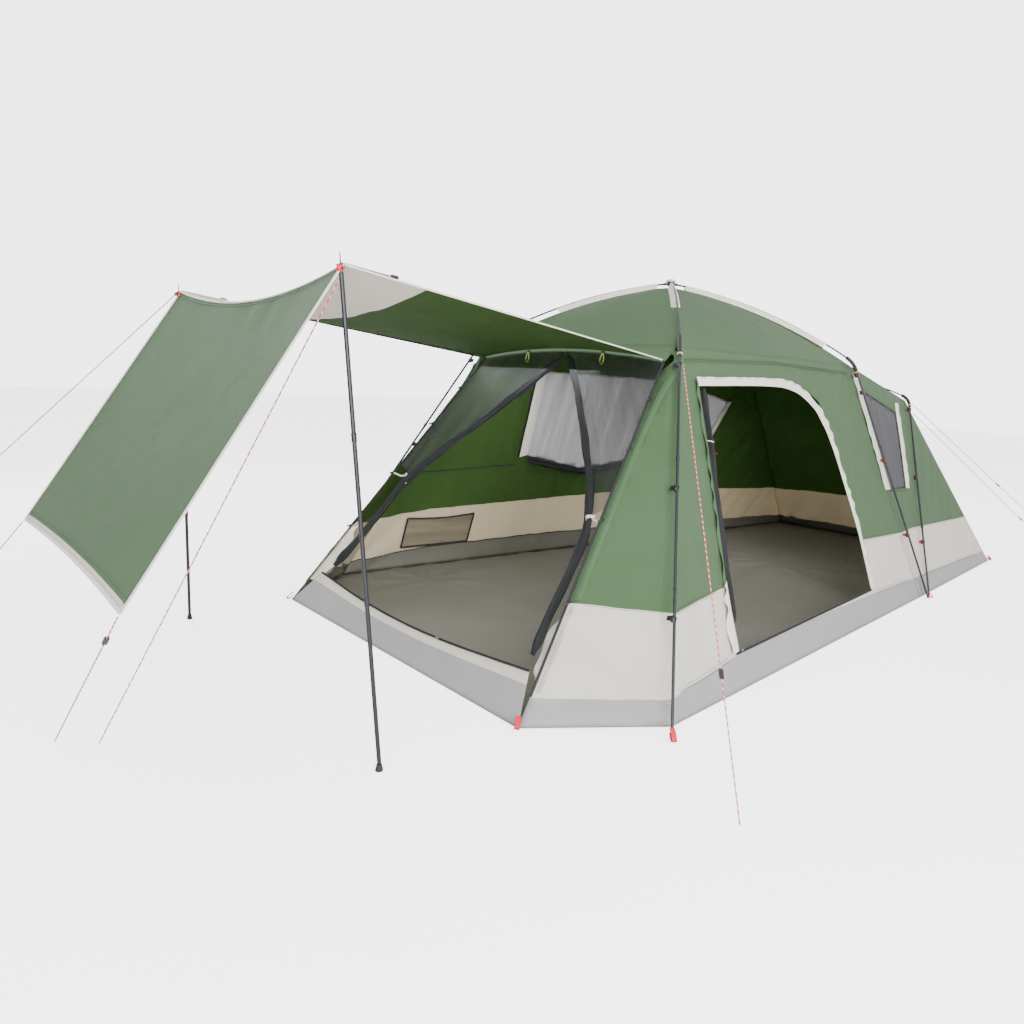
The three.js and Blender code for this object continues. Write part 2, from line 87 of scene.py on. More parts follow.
CANOPY_START = Vector((0.0, -0.026, 0.006))  # from the door head to the canopy's sewn edge
UP = Vector((0.0, 0.0, 1.0))

# Thickness of each kind of layer, and how far stitches stand off it.
CLOTH_THICK = 0.0012
THIN_CLOTH = 0.0008
NET_THICK = 0.0006
TAPE_THICK = 0.003
SEAM_LIFT = 0.0022
RIM_LIFT = 0.0075


def mirrored(point: Vector) -> Vector:
    """The same point on the left-hand side."""
    return Vector((-point.x, point.y, point.z))


def mix(a: Vector, b: Vector, t: float) -> Vector:
    """The point at share t of the way from a to b."""
    return a + (b - a) * t


def bezier(a: Vector, control: Vector, b: Vector, t: float) -> Vector:
    """A point of the quadratic curve from a to b."""
    return mix(mix(a, control, t), mix(control, b, t), t)


def bump(u: float, v: float) -> float:
    """1 in the middle of a unit square and 0 on its edges."""
    return math.sin(math.pi * min(max(u, 0), 1)) * math.sin(math.pi * min(max(v, 0), 1))


def smooth(low: float, high: float, x: float) -> float:
    """0 below low, 1 above high and a soft step between."""
    t = min(max((x - low) / (high - low), 0.0), 1.0)
    return t * t * (3 - 2 * t)


def resample(path: Sequence[Vector], step: float) -> list[Vector]:
    """The same line with its points no further apart than step."""
    points = [Vector(path[0])]
    for a, b in zip(path, path[1:]):
        count = max(1, math.ceil((b - a).length / step))
        points += [mix(a, b, i / count) for i in range(1, count + 1)]
    return points


def rounded(path: Sequence[Vector], passes: int = 2) -> list[Vector]:
    """The line with its corners cut, its ends kept."""
    points = [Vector(p) for p in path]
    for _ in range(passes):
        cut = [points[0]]
        for a, b in zip(points, points[1:]):
            cut += [mix(a, b, 0.25), mix(a, b, 0.75)]
        points = [*cut, points[-1]]
    return points


def length_of(path: Sequence[Vector]) -> float:
    """The length of a line of points."""
    return sum((b - a).length for a, b in zip(path, path[1:]))


@dataclass(frozen=True)
class Ruled:
    """A wall of straight lines between two slanted edges, read by its depth and height.

    Args:
        low_a, high_a: ends of the first edge.
        low_b, high_b: ends of the second edge.
    """

    low_a: Vector
    high_a: Vector
    low_b: Vector
    high_b: Vector

    def at(self, y: float, z: float, inward: float = 0.0) -> Vector:
        """The wall's point at that depth and height, moved towards the tent's middle."""
        u, v = 0.5, 0.5
        for _ in range(14):
            low, high = mix(self.low_a, self.low_b, u), mix(self.high_a, self.high_b, u)
            v = (z - low.z) / (high.z - low.z)
            a, b = mix(self.low_a, self.high_a, v), mix(self.low_b, self.high_b, v)
            u = min(max((y - a.y) / (b.y - a.y), -0.2), 1.2)
        found = mix(mix(self.low_a, self.high_a, v), mix(self.low_b, self.high_b, v), u)
        side = math.copysign(1.0, self.low_a.x)
        return Vector((found.x - side * inward, y, z))

    def left(self) -> "Ruled":
        """The same wall on the left-hand side."""
        return Ruled(*(mirrored(p) for p in (self.low_a, self.high_a, self.low_b, self.high_b)))


SIDE = Ruled(CORNER_FRONT, EAVE_FRONT, CORNER_REAR, EAVE_REAR)
WEDGE = Ruled(NOSE, DOOR_HEAD, CORNER_FRONT, EAVE_FRONT)
REAR_ROOM = Ruled(CORNER_REAR, EAVE_REAR, TAIL, EAVE_ARCH)


def porch_edge(t: float, y: float = -2.881) -> Vector:
    """The canopy's front edge, from left (t = 0) to right (t = 1)."""
    top = PORCH_TOP
    return bezier(Vector((-top.x, y, top.z)), Vector((0, y, PORCH_SAG)), Vector((top.x, y, top.z)), t)


def door_head(t: float) -> Vector:
    """The top edge of the doorway, from left to right."""
    return bezier(mirrored(DOOR_HEAD), DOOR_HEAD_CROWN, DOOR_HEAD, t)


def arch_eave(t: float) -> Vector:
    """The rear room's eave under its arch rod, from left to right."""
    return bezier(mirrored(EAVE_ARCH), EAVE_ARCH_CROWN, EAVE_ARCH, t)


def opening_edge(height: float) -> Vector:
    """The right-hand edge of the doorway at that height."""
    return mix(NOSE, DOOR_HEAD, (height - NOSE.z) / (DOOR_HEAD.z - NOSE.z))


def ridge(eave: Vector, t: float) -> Vector:
    """The seam of two roof panels, from the hub down to an eave corner."""
    top = Vector((0, HUB.y, 2.074))
    crown = Vector((eave.x / 2, (HUB.y + eave.y) / 2, 1.994))
    return bezier(top, crown, eave, t)


def surface(rows: int, columns: int, point: Place) -> list[list[Vector]]:
    """A grid of points of a surface that is read by its shares across and along."""
    return [[point(j / columns, i / rows) for j in range(columns + 1)] for i in range(rows + 1)]


def thicken(made: bpy.types.Object, thick: float, inner: int) -> None:
    """Gives a single layer its thickness, its inside finishes coming after the outside ones."""
    shell = made.modifiers.new("Thickness", "SOLIDIFY")
    shell.thickness, shell.offset, shell.material_offset = thick, -1.0, inner


class Shape:
    """A mesh put together bit by bit, with its texture places in metres.

    Args:
        name: the piece's name.
    """

    def __init__(self, name: str) -> None:
        self.name = name
        self.points: list[Vector] = []
        self.faces: list[tuple[int, ...]] = []
        self.uvs: list[list[Point2]] = []
        self.bands: list[int] = []

    def face(self, corners: Sequence[int], uvs: Sequence[Point2], band: int) -> None:
        """Adds one face with its texture corners."""
        self.faces.append(tuple(corners))
        self.uvs.append(list(uvs))
        self.bands.append(band)

    def grid(self, rows: Sequence[Sequence[Vector]], band: int = 0, wrap: bool = False,
             caps: bool = False) -> None:
        """Adds a sheet of quads through rows of points.

        Args:
            rows: the points, each row as long as the others.
            band: which of the piece's finishes it takes.
            wrap: whether each row closes on itself.
            caps: whether the first and last rows are filled.
        """
        start, wide = len(self.points), len(rows[0])
        for row in rows:
            self.points += [Vector(p) for p in row]
        along = 0.0
        for i in range(len(rows) - 1):
            rise = (rows[i + 1][0] - rows[i][0]).length
            across = 0.0
            for j in range(wide if wrap else wide - 1):
                k = (j + 1) % wide
                run = (rows[i][k] - rows[i][j]).length
                a, b = start + i * wide, start + (i + 1) * wide
                right, top = across + run, along + rise
                corners = ((across, along), (right, along), (right, top), (across, top))
                self.face((a + j, a + k, b + k, b + j), corners, band)
                across += run
            along += rise
        if caps:
            last = start + (len(rows) - 1) * wide
            self.face([start + j for j in reversed(range(wide))], [(0.0, 0.0)] * wide, band)
            self.face([last + j for j in range(wide)], [(0.0, 0.0)] * wide, band)

    def sweep(self, path: Sequence[Vector], profile: Sequence[Point2], facing: Vector | None = None,
              band: int = 0,
              scale: Callable[[float], float] | None = None) -> None:
        """Adds a closed profile drawn along a line.

        Args:
            path: the line's points.
            profile: the profile's corners, anticlockwise seen against the line's direction.
            facing: a direction that the profile's second axis keeps to.
            band: which of the piece's finishes it takes.
            scale: the profile's size at each share of the line.
        """
        rows: list[list[Vector]] = []
        up = Vector(facing) if facing else UP
        for i, point in enumerate(path):
            ahead = path[min(i + 1, len(path) - 1)] - path[max(i - 1, 0)]
            ahead.normalize()
            if abs(ahead.dot(up.normalized())) > 0.98:
                up = Vector((0.37, 0.92, 0.11))
            side = up.cross(ahead).normalized()
            over = ahead.cross(side).normalized()
            if facing is None:
                up = over
            size = scale(i / max(len(path) - 1, 1)) if scale else 1.0
            rows.append([point + (side * a + over * b) * size for a, b in profile])
        self.grid(rows, band, wrap=True, caps=True)

    def tube(self, path: Sequence[Vector], radius: float, sides: int = 8, band: int = 0,
             scale: Callable[[float], float] | None = None) -> None:
        """Adds a round tube along a line."""
        turns = [math.tau * k / sides for k in range(sides)]
        self.sweep(path, [(radius * math.cos(t), radius * math.sin(t)) for t in turns], None, band, scale)

    def strap(self, path: Sequence[Vector], width: float, thick: float, facing: Vector,
              band: int = 0) -> None:
        """Adds a flat band along a line, its broad side turned to facing."""
        a, b = width / 2, thick / 2
        self.sweep(path, [(-a, -b), (a, -b), (a, b), (-a, b)], facing, band)

    def block(self, centre: Vector, size: Vector, along: Vector, facing: Vector, band: int = 0) -> None:
        """Adds a box with rounded long edges, its length turned to along."""
        half = along.normalized() * size.x / 2
        a, b, c = size.y / 2, size.z / 2, min(size.y, size.z) * 0.22
        ring = [(-a + c, -b), (a - c, -b), (a, -b + c), (a, b - c), (a - c, b), (-a + c, b), (-a, b - c),
                (-a, -b + c)]
        stops = (-1.0, -0.86, 0.86, 1.0)
        path = [centre + half * s for s in stops]
        self.sweep(path, ring, facing, band, lambda t: 0.8 if t < 0.1 or t > 0.9 else 1.0)

    def ball(self, centre: Vector, radius: float, band: int = 0, squash: float = 1.0) -> None:
        """Adds a small round knob."""
        steps = 7
        path = [centre + Vector((0, 0, -math.cos(math.pi * k / steps) * radius * squash))
                for k in range(steps + 1)]
        self.tube(path, radius, 10, band, lambda t: max(math.sin(math.pi * t), 0.04))

    def build(self, finishes: Sequence[bpy.types.Material]) -> bpy.types.Object:
        """The finished object, in place, with its finishes.

        Args:
            finishes: one material for each band.

        Returns:
            The new object.
        """
        data = bpy.data.meshes.new(self.name)
        data.from_pydata([tuple(p) for p in self.points], [], self.faces)
        layer = data.uv_layers.new(name="UVMap")
        flat_uvs = [value for corners in self.uvs for corner in corners for value in corner]
        layer.data.foreach_set("uv", flat_uvs)
        data.polygons.foreach_set("material_index", self.bands)
        data.polygons.foreach_set("use_smooth", [True] * len(self.faces))
        for finish in finishes:
            data.materials.append(finish)
        data.set_sharp_from_angle(angle=math.radians(50))
        data.update()
        made = bpy.data.objects.new(self.name, data)
        bpy.context.scene.collection.objects.link(made)
        log.info("%s: %d faces", self.name, len(self.faces))
        return made


class Pattern(Enum):
    """How a finish is broken up."""

    WOVEN = "woven"
    NET = "net"
    BRAIDED = "braided"
    GRAINED = "grained"
    BRUSHED = "brushed"


@dataclass(frozen=True)
class Finish:
    """One surface finish.

    Args:
        name: the material's name.
        colour: its main colour, linear.
        second: the colour of its blotches or flecks.
        rough: its roughness.
        pattern: how it is broken up.
        glow: the share of light that passes through the cloth.
        metal: 1 for bare metal.
        sheen: the soft edge light of cloth.
        relief: depth of its small relief, in metres.
        crinkle: depth of its creases, in metres.
        cover: opacity of a net.
    """

    name: str
    colour: tuple[float, float, float]
    second: tuple[float, float, float]
    rough: float
    pattern: Pattern
    glow: float = 0.0
    metal: float = 0.0
    sheen: float = 0.0
    relief: float = 0.0002
    crinkle: float = 0.0
    cover: float = 1.0


class Nodes:
    """A node tree that is filled by short calls.

    Args:
        tree: the tree.
    """

    def __init__(self, tree: bpy.types.NodeTree) -> None:
        self.tree = tree

    def add(self, kind: str, **inputs: object) -> bpy.types.Node:
        """Adds a node, sets or links its named inputs and returns it.

        Args:
            kind: the node type's name.
            inputs: values, sockets to link, or node properties.

        Returns:
            The new node.
        """
        node = self.tree.nodes.new(kind)
        for key, value in inputs.items():
            if hasattr(node, key) and key not in ("color",):
                setattr(node, key, value)
                continue
            name = int(key[1:]) if key.startswith("_") else key.replace("_", " ")
            socket = node.inputs[name]
            if isinstance(value, bpy.types.NodeSocket):
                self.tree.links.new(value, socket)
            else:
                socket.default_value = value
        return node

    def maths(self, how: str, a: object, b: object = 0.5) -> bpy.types.NodeSocket:
        """The result of one sum."""
        return self.add("ShaderNodeMath", operation=how, _0=a, _1=b).outputs[0]

    def blend(self, share: object, a: object, b: object) -> bpy.types.NodeSocket:
        """Colour a turned towards colour b by a share."""
        node = self.tree.nodes.new("ShaderNodeMix")
        node.data_type = "RGBA"
        for index, value in ((0, share), (6, a), (7, b)):
            if isinstance(value, bpy.types.NodeSocket):
                self.tree.links.new(value, node.inputs[index])
            else:
                node.inputs[index].default_value = value
        return node.outputs[2]


def effect(name: str, inputs: dict[str, float],
           outputs: Sequence[str]) -> tuple[bpy.types.NodeTree, Nodes, dict, dict]:
    """A new shader node group of values.

    Args:
        name: the group's name.
        inputs: its inputs and their defaults.
        outputs: its outputs.

    Returns:
        The tree, its filler, its input sockets and its output sockets by name.
    """
    tree = bpy.data.node_groups.new(name, "ShaderNodeTree")
    for key, value in inputs.items():
        tree.interface.new_socket(name=key, in_out="INPUT",
                                  socket_type="NodeSocketFloat").default_value = value
    for key in outputs:
        tree.interface.new_socket(name=key, in_out="OUTPUT", socket_type="NodeSocketFloat")
    source, sink = tree.nodes.new("NodeGroupInput"), tree.nodes.new("NodeGroupOutput")
    return tree, Nodes(tree), {k: source.outputs[k] for k in inputs}, {k: sink.inputs[k] for k in outputs}


class Finishes:
    """Every material of the tent, made on shared node groups."""

    def __init__(self) -> None:
        self.made: dict[str, bpy.types.Material] = {}
        self.weave = self._weave()
        self.wear = self._wear()
        self.braid = self._braid()
        self.net = self._net()

    def _weave(self) -> bpy.types.NodeTree:
        """Crossed threads from the cloth's own texture places, and soft creases."""
        tree, kit, given, out = effect("Cloth Weave", {"Thread": 0.0016, "Crease": 0.5}, ("Height", "Shade"))
        place = kit.add("ShaderNodeUVMap", uv_map="UVMap").outputs[0]
        parts = kit.add("ShaderNodeSeparateXYZ", _0=place)
        turns = kit.maths("DIVIDE", math.tau, given["Thread"])
        over = kit.maths("SINE", kit.maths("MULTIPLY", parts.outputs[0], turns))
        under = kit.maths("SINE", kit.maths("MULTIPLY", parts.outputs[1], turns))
        threads = kit.maths("MULTIPLY", over, under)
        spot = kit.add("ShaderNodeTexCoord").outputs["Object"]
        creases = kit.add("ShaderNodeTexNoise", _0=spot, Scale=7.0, Detail=5.0, Roughness=0.62,
                          Distortion=1.4).outputs[0]
        ridges = kit.maths("ABSOLUTE", kit.maths("SUBTRACT", creases, 0.5))
        folds = kit.maths("MULTIPLY", kit.maths("SUBTRACT", 0.5, ridges), given["Crease"])
        height = kit.maths("ADD", kit.maths("MULTIPLY", threads, 0.08), folds)
        tree.links.new(height, out["Height"])
        tree.links.new(kit.maths("MULTIPLY_ADD", threads, 0.5), out["Shade"])
        return tree

    def _wear(self) -> bpy.types.NodeTree:
        """Soft blotches and fine grain."""
        tree, kit, given, out = effect("Surface Wear", {"Scale": 3.0, "Fine": 400.0}, ("Blotch", "Grain"))
        spot = kit.add("ShaderNodeTexCoord").outputs["Object"]
        soft = kit.add("ShaderNodeTexNoise", _0=spot, Scale=given["Scale"], Detail=4.0,
                       Roughness=0.6).outputs[0]
        fine = kit.add("ShaderNodeTexNoise", _0=spot, Scale=given["Fine"], Detail=2.0).outputs[0]
        tree.links.new(kit.maths("SMOOTH_MIN", kit.maths("MULTIPLY", soft, 1.1), 1.0), out["Blotch"])
        tree.links.new(fine, out["Grain"])
        return tree

    def _braid(self) -> bpy.types.NodeTree:
        """Crossed strands around a cord, with a fleck where two light strands meet."""
        tree, kit, given, out = effect("Cord Braid", {"Pitch": 0.03, "Girth": 0.0157}, ("Fleck", "Height"))
        place = kit.add("ShaderNodeUVMap", uv_map="UVMap").outputs[0]
        parts = kit.add("ShaderNodeSeparateXYZ", _0=place)
        around = kit.maths("DIVIDE", parts.outputs[0], given["Girth"])
        along = kit.maths("DIVIDE", parts.outputs[1], given["Pitch"])
        one = kit.maths("SINE", kit.maths("MULTIPLY", kit.maths("ADD", along, around), math.tau))
        two = kit.maths("SINE", kit.maths("MULTIPLY", kit.maths("SUBTRACT", along, around), math.tau))
        tree.links.new(kit.maths("GREATER_THAN", one, 0.55), out["Fleck"])
        tree.links.new(kit.maths("MULTIPLY", one, two), out["Height"])
        return tree

    def _net(self) -> bpy.types.NodeTree:
        """Opacity of fine netting, denser along soft vertical streaks."""
        tree, kit, given, out = effect("Net Cover", {"Cover": 0.5}, ("Alpha",))
        place = kit.add("ShaderNodeUVMap", uv_map="UVMap").outputs[0]
        stretched = kit.add("ShaderNodeMapping", _0=place, Scale=(16.0, 1.2, 1.0)).outputs[0]
        streaks = kit.add("ShaderNodeTexNoise", _0=stretched, Scale=1.0, Detail=3.0).outputs[0]
        spread = kit.maths("MULTIPLY", kit.maths("SUBTRACT", streaks, 0.5), 0.35)
        tree.links.new(kit.maths("ADD", given["Cover"], spread), out["Alpha"])
        return tree

    def make(self, finish: Finish) -> bpy.types.Material:
        """The material of a finish.

        Args:
            finish: the finish's values.

        Returns:
            The material, made once.
        """
        if finish.name in self.made:
            return self.made[finish.name]
        material = bpy.data.materials.new(finish.name)
        material.use_nodes = True
        material.diffuse_color = (*finish.colour, 1.0)
        tree = material.node_tree
        tree.nodes.clear()
        kit = Nodes(tree)
        shader = kit.add("ShaderNodeBsdfPrincipled", Roughness=finish.rough, Metallic=finish.metal)
        shader.inputs["Sheen Weight"].default_value = finish.sheen
        shader.inputs["Sheen Roughness"].default_value = 0.4
        shader.inputs["Specular IOR Level"].default_value = 0.22 if finish.pattern is Pattern.WOVEN else 0.5
        wear = kit.add("ShaderNodeGroup", node_tree=self.wear)
        share, height = wear.outputs["Blotch"], wear.outputs["Grain"]
        if finish.pattern is Pattern.WOVEN:
            cloth = kit.add("ShaderNodeGroup", node_tree=self.weave, Crease=finish.crinkle)
            height = cloth.outputs["Height"]
        elif finish.pattern is Pattern.BRAIDED:
            cord = kit.add("ShaderNodeGroup", node_tree=self.braid)
            share, height = cord.outputs["Fleck"], cord.outputs["Height"]
        colour = kit.blend(share, (*finish.colour, 1.0), (*finish.second, 1.0))
        tree.links.new(colour, shader.inputs["Base Color"])
        raised = kit.add("ShaderNodeBump", Height=height, Distance=finish.relief, Strength=0.7)
        tree.links.new(raised.outputs[0], shader.inputs["Normal"])
        result = shader.outputs[0]
        if finish.pattern is Pattern.NET:
            net = kit.add("ShaderNodeGroup", node_tree=self.net, Cover=finish.cover)
            tree.links.new(net.outputs["Alpha"], shader.inputs["Alpha"])
        if finish.glow > 0:
            through = kit.add("ShaderNodeBsdfTranslucent", Color=colour)
            result = kit.add("ShaderNodeMixShader", _0=finish.glow, _1=result,
                             _2=through.outputs[0]).outputs[0]
        kit.add("ShaderNodeOutputMaterial", Surface=result)
        self.made[finish.name] = material
        return material


GREEN = Finish("green polyester", (0.100, 0.188, 0.085), (0.126, 0.222, 0.110), 0.45, Pattern.WOVEN, 0.30,
               sheen=0.03, relief=0.009, crinkle=0.5)
# The inside finishes are darker, yellower copies of the outside cloth: their colour is painted shade of the
# tent's inside.
GREEN_INSIDE_SHADE = Finish("green inside painted shade", (0.085, 0.165, 0.045), (0.115, 0.215, 0.060), 0.5,
                      Pattern.WOVEN, 0.58, relief=0.009, crinkle=0.5)
CREAM = Finish("cream polyester", (0.920, 0.850, 0.750), (0.960, 0.900, 0.810), 0.45, Pattern.WOVEN, 0.20,
               sheen=0.05, relief=0.009, crinkle=0.5)
CREAM_INSIDE_SHADE = Finish("cream inside painted shade", (0.760, 0.680, 0.500), (0.820, 0.740, 0.560), 0.55,
                      Pattern.WOVEN, 0.45, relief=0.009, crinkle=0.5)
GREY = Finish("grey groundsheet side", (0.400, 0.385, 0.400), (0.460, 0.445, 0.460), 0.5, Pattern.WOVEN,
              0.05, relief=0.009, crinkle=0.8)
FLOOR = Finish("grey woven floor", (0.165, 0.160, 0.135), (0.200, 0.195, 0.165), 0.42, Pattern.WOVEN, 0.0,
               relief=0.006, crinkle=0.9)
NET = Finish("black insect mesh", (0.020, 0.022, 0.024), (0.035, 0.036, 0.040), 0.7, Pattern.NET, cover=0.27)
# A real window mesh, but its nearly opaque pale grey is painted light that comes through it from behind.
NET_PAINTED_LIGHT = Finish("window mesh painted light", (0.430, 0.420, 0.450), (0.500, 0.490, 0.520), 0.7, Pattern.NET,
                  cover=0.82)
# A real window mesh, but its nearly opaque dark tone is painted shade of the room behind it.
NET_PAINTED_SHADE = Finish("window mesh painted shade", (0.055, 0.055, 0.062), (0.075, 0.075, 0.085), 0.7, Pattern.NET,
                  cover=0.93)
BLACK_ROLL = Finish("rolled black mesh", (0.012, 0.013, 0.014), (0.030, 0.031, 0.034), 0.8, Pattern.WOVEN,
                    relief=0.004, crinkle=1.0)
TAPE_BLACK = Finish("black binding tape", (0.016, 0.016, 0.017), (0.030, 0.030, 0.032), 0.75,
                    Pattern.WOVEN, relief=0.0006, crinkle=0.1)
TAPE_GREEN = Finish("green binding tape", (0.055, 0.108, 0.050), (0.070, 0.130, 0.062), 0.7, Pattern.WOVEN,
                    relief=0.0006, crinkle=0.1)
TAPE_CREAM = Finish("cream binding tape", (0.780, 0.740, 0.650), (0.840, 0.800, 0.720), 0.6, Pattern.WOVEN,
                    relief=0.0006, crinkle=0.2)
TAPE_RED = Finish("red webbing", (0.640, 0.016, 0.040), (0.740, 0.040, 0.070), 0.6, Pattern.WOVEN,
                  relief=0.0006)
TAPE_GREY = Finish("grey webbing", (0.300, 0.300, 0.300), (0.380, 0.380, 0.380), 0.6, Pattern.WOVEN,
                   relief=0.0006)
LIME = Finish("yellow-green cord", (0.480, 0.560, 0.110), (0.620, 0.680, 0.240), 0.6, Pattern.WOVEN,
              relief=0.0004)
THREAD = Finish("dark green thread", (0.045, 0.085, 0.045), (0.060, 0.105, 0.060), 0.7, Pattern.GRAINED)
ROPE = Finish("red and white guy rope", (0.660, 0.008, 0.030), (0.800, 0.740, 0.720), 0.6, Pattern.BRAIDED,
              relief=0.0008)
ROPE_GREY = Finish("dark guy rope", (0.160, 0.120, 0.125), (0.520, 0.480, 0.480), 0.6, Pattern.BRAIDED,
                   relief=0.0008)
PLASTIC = Finish("black plastic", (0.014, 0.014, 0.015), (0.024, 0.024, 0.026), 0.42, Pattern.GRAINED,
                 relief=0.0003)
ROD_BLACK = Finish("black fibreglass", (0.016, 0.017, 0.018), (0.026, 0.027, 0.029), 0.3, Pattern.BRUSHED,
                   relief=0.0001)
STEEL_DARK = Finish("painted steel leg", (0.028, 0.032, 0.037), (0.044, 0.049, 0.056), 0.32,
                    Pattern.BRUSHED, metal=0.35, relief=0.0001)
POLE_BLACK = Finish("painted porch pole", (0.012, 0.014, 0.017), (0.022, 0.025, 0.029), 0.42,
                    Pattern.BRUSHED, metal=0.25, relief=0.0001)
RUBBER = Finish("rubber foot", (0.012, 0.012, 0.012), (0.024, 0.024, 0.024), 0.75, Pattern.GRAINED,
                relief=0.0004)
ZIP_METAL = Finish("zip metal", (0.210, 0.215, 0.220), (0.300, 0.305, 0.310), 0.35, Pattern.BRUSHED,
                   metal=0.9, relief=0.0001)


@dataclass(frozen=True)
class Slack:
    """How loosely a cloth hangs.

    Args:
        depth: height of its waves.
        across, along: size of a wave across and along its folds.
        lean: angle of the folds from the second axis, in radians.
        seed: which waves it draws.
        hold: how far from an edge the cloth stays tight.
        fans: folds that run from a point: (a, b, reach, depth, count).
    """

    depth: float = 0.006
    across: float = 0.11
    along: float = 0.55
    lean: float = 0.0
    seed: float = 1.0
    hold: float = 0.07
    fans: tuple[tuple[float, float, float, float, float], ...] = ()

    def at(self, a: float, b: float) -> float:
        """The cloth's height over its plain surface, before its edges are held."""
        c, s = math.cos(self.lean), math.sin(self.lean)
        x, y = (a * c + b * s) / self.across, (b * c - a * s) / self.along
        fine = noise.noise(Vector((x * 2.1, y * 2.6, self.seed + 7)))
        wave = noise.noise(Vector((x, y, self.seed))) + 0.45 * fine
        total = self.depth * wave
        for fan_a, fan_b, reach, depth, count in self.fans:
            away = math.hypot(a - fan_a, b - fan_b)
            turn = math.atan2(b - fan_b, a - fan_a)
            fold = math.sin(turn * count + 2.2 * noise.noise(Vector((a * 3, b * 3, self.seed))))
            total += depth * fold * math.exp(-away / reach) * smooth(0.0, 0.12, away)
        return total


def clear_of(points: np.ndarray, lines: Sequence[Sequence[Point2]]) -> np.ndarray:
    """How far each point is from the nearest of some lines."""
    nearest = np.full(len(points), 1e9)
    for line in lines:
        for p, q in zip(line, line[1:]):
            start, run = np.array(p), np.array(q) - np.array(p)
            share = np.clip(((points - start) @ run) / max(run @ run, 1e-12), 0, 1)
            nearest = np.minimum(nearest, np.linalg.norm(points - start - share[:, None] * run, axis=1))
    return nearest


def within(points: np.ndarray, outline: Sequence[Point2]) -> np.ndarray:
    """Which points lie inside an outline."""
    found = np.zeros(len(points), bool)
    for (x1, y1), (x2, y2) in zip(outline, [*outline[1:], outline[0]]):
        if y1 == y2:
            continue
        cross = (y1 > points[:, 1]) != (y2 > points[:, 1])
        found ^= cross & (points[:, 0] < (x2 - x1) * (points[:, 1] - y1) / (y2 - y1) + x1)
    return found


def densified(line: Sequence[Point2], step: float, closed: bool) -> list[Point2]:
    """A flat line with points no further apart than step."""
    ends = [*line[1:], line[0]] if closed else line[1:]
    points: list[Point2] = []
    for (a, b), (c, d) in zip(line, ends):
        count = max(1, math.ceil(math.hypot(c - a, d - b) / step))
        points += [(a + (c - a) * i / count, b + (d - b) * i / count) for i in range(count)]
    return points if closed else [*points, line[-1]]


def smoothed(line: Sequence[Point2]) -> list[Point2]:
    """A flat line with its corners rounded."""
    return [(p.x, p.y) for p in rounded([Vector((a, b, 0.0)) for a, b in line], 2)]


def level(line: Sequence[Point2], at: float) -> float:
    """The height of a seam line at a place along it."""
    return float(np.interp(at, [p[0] for p in line], [p[1] for p in line]))


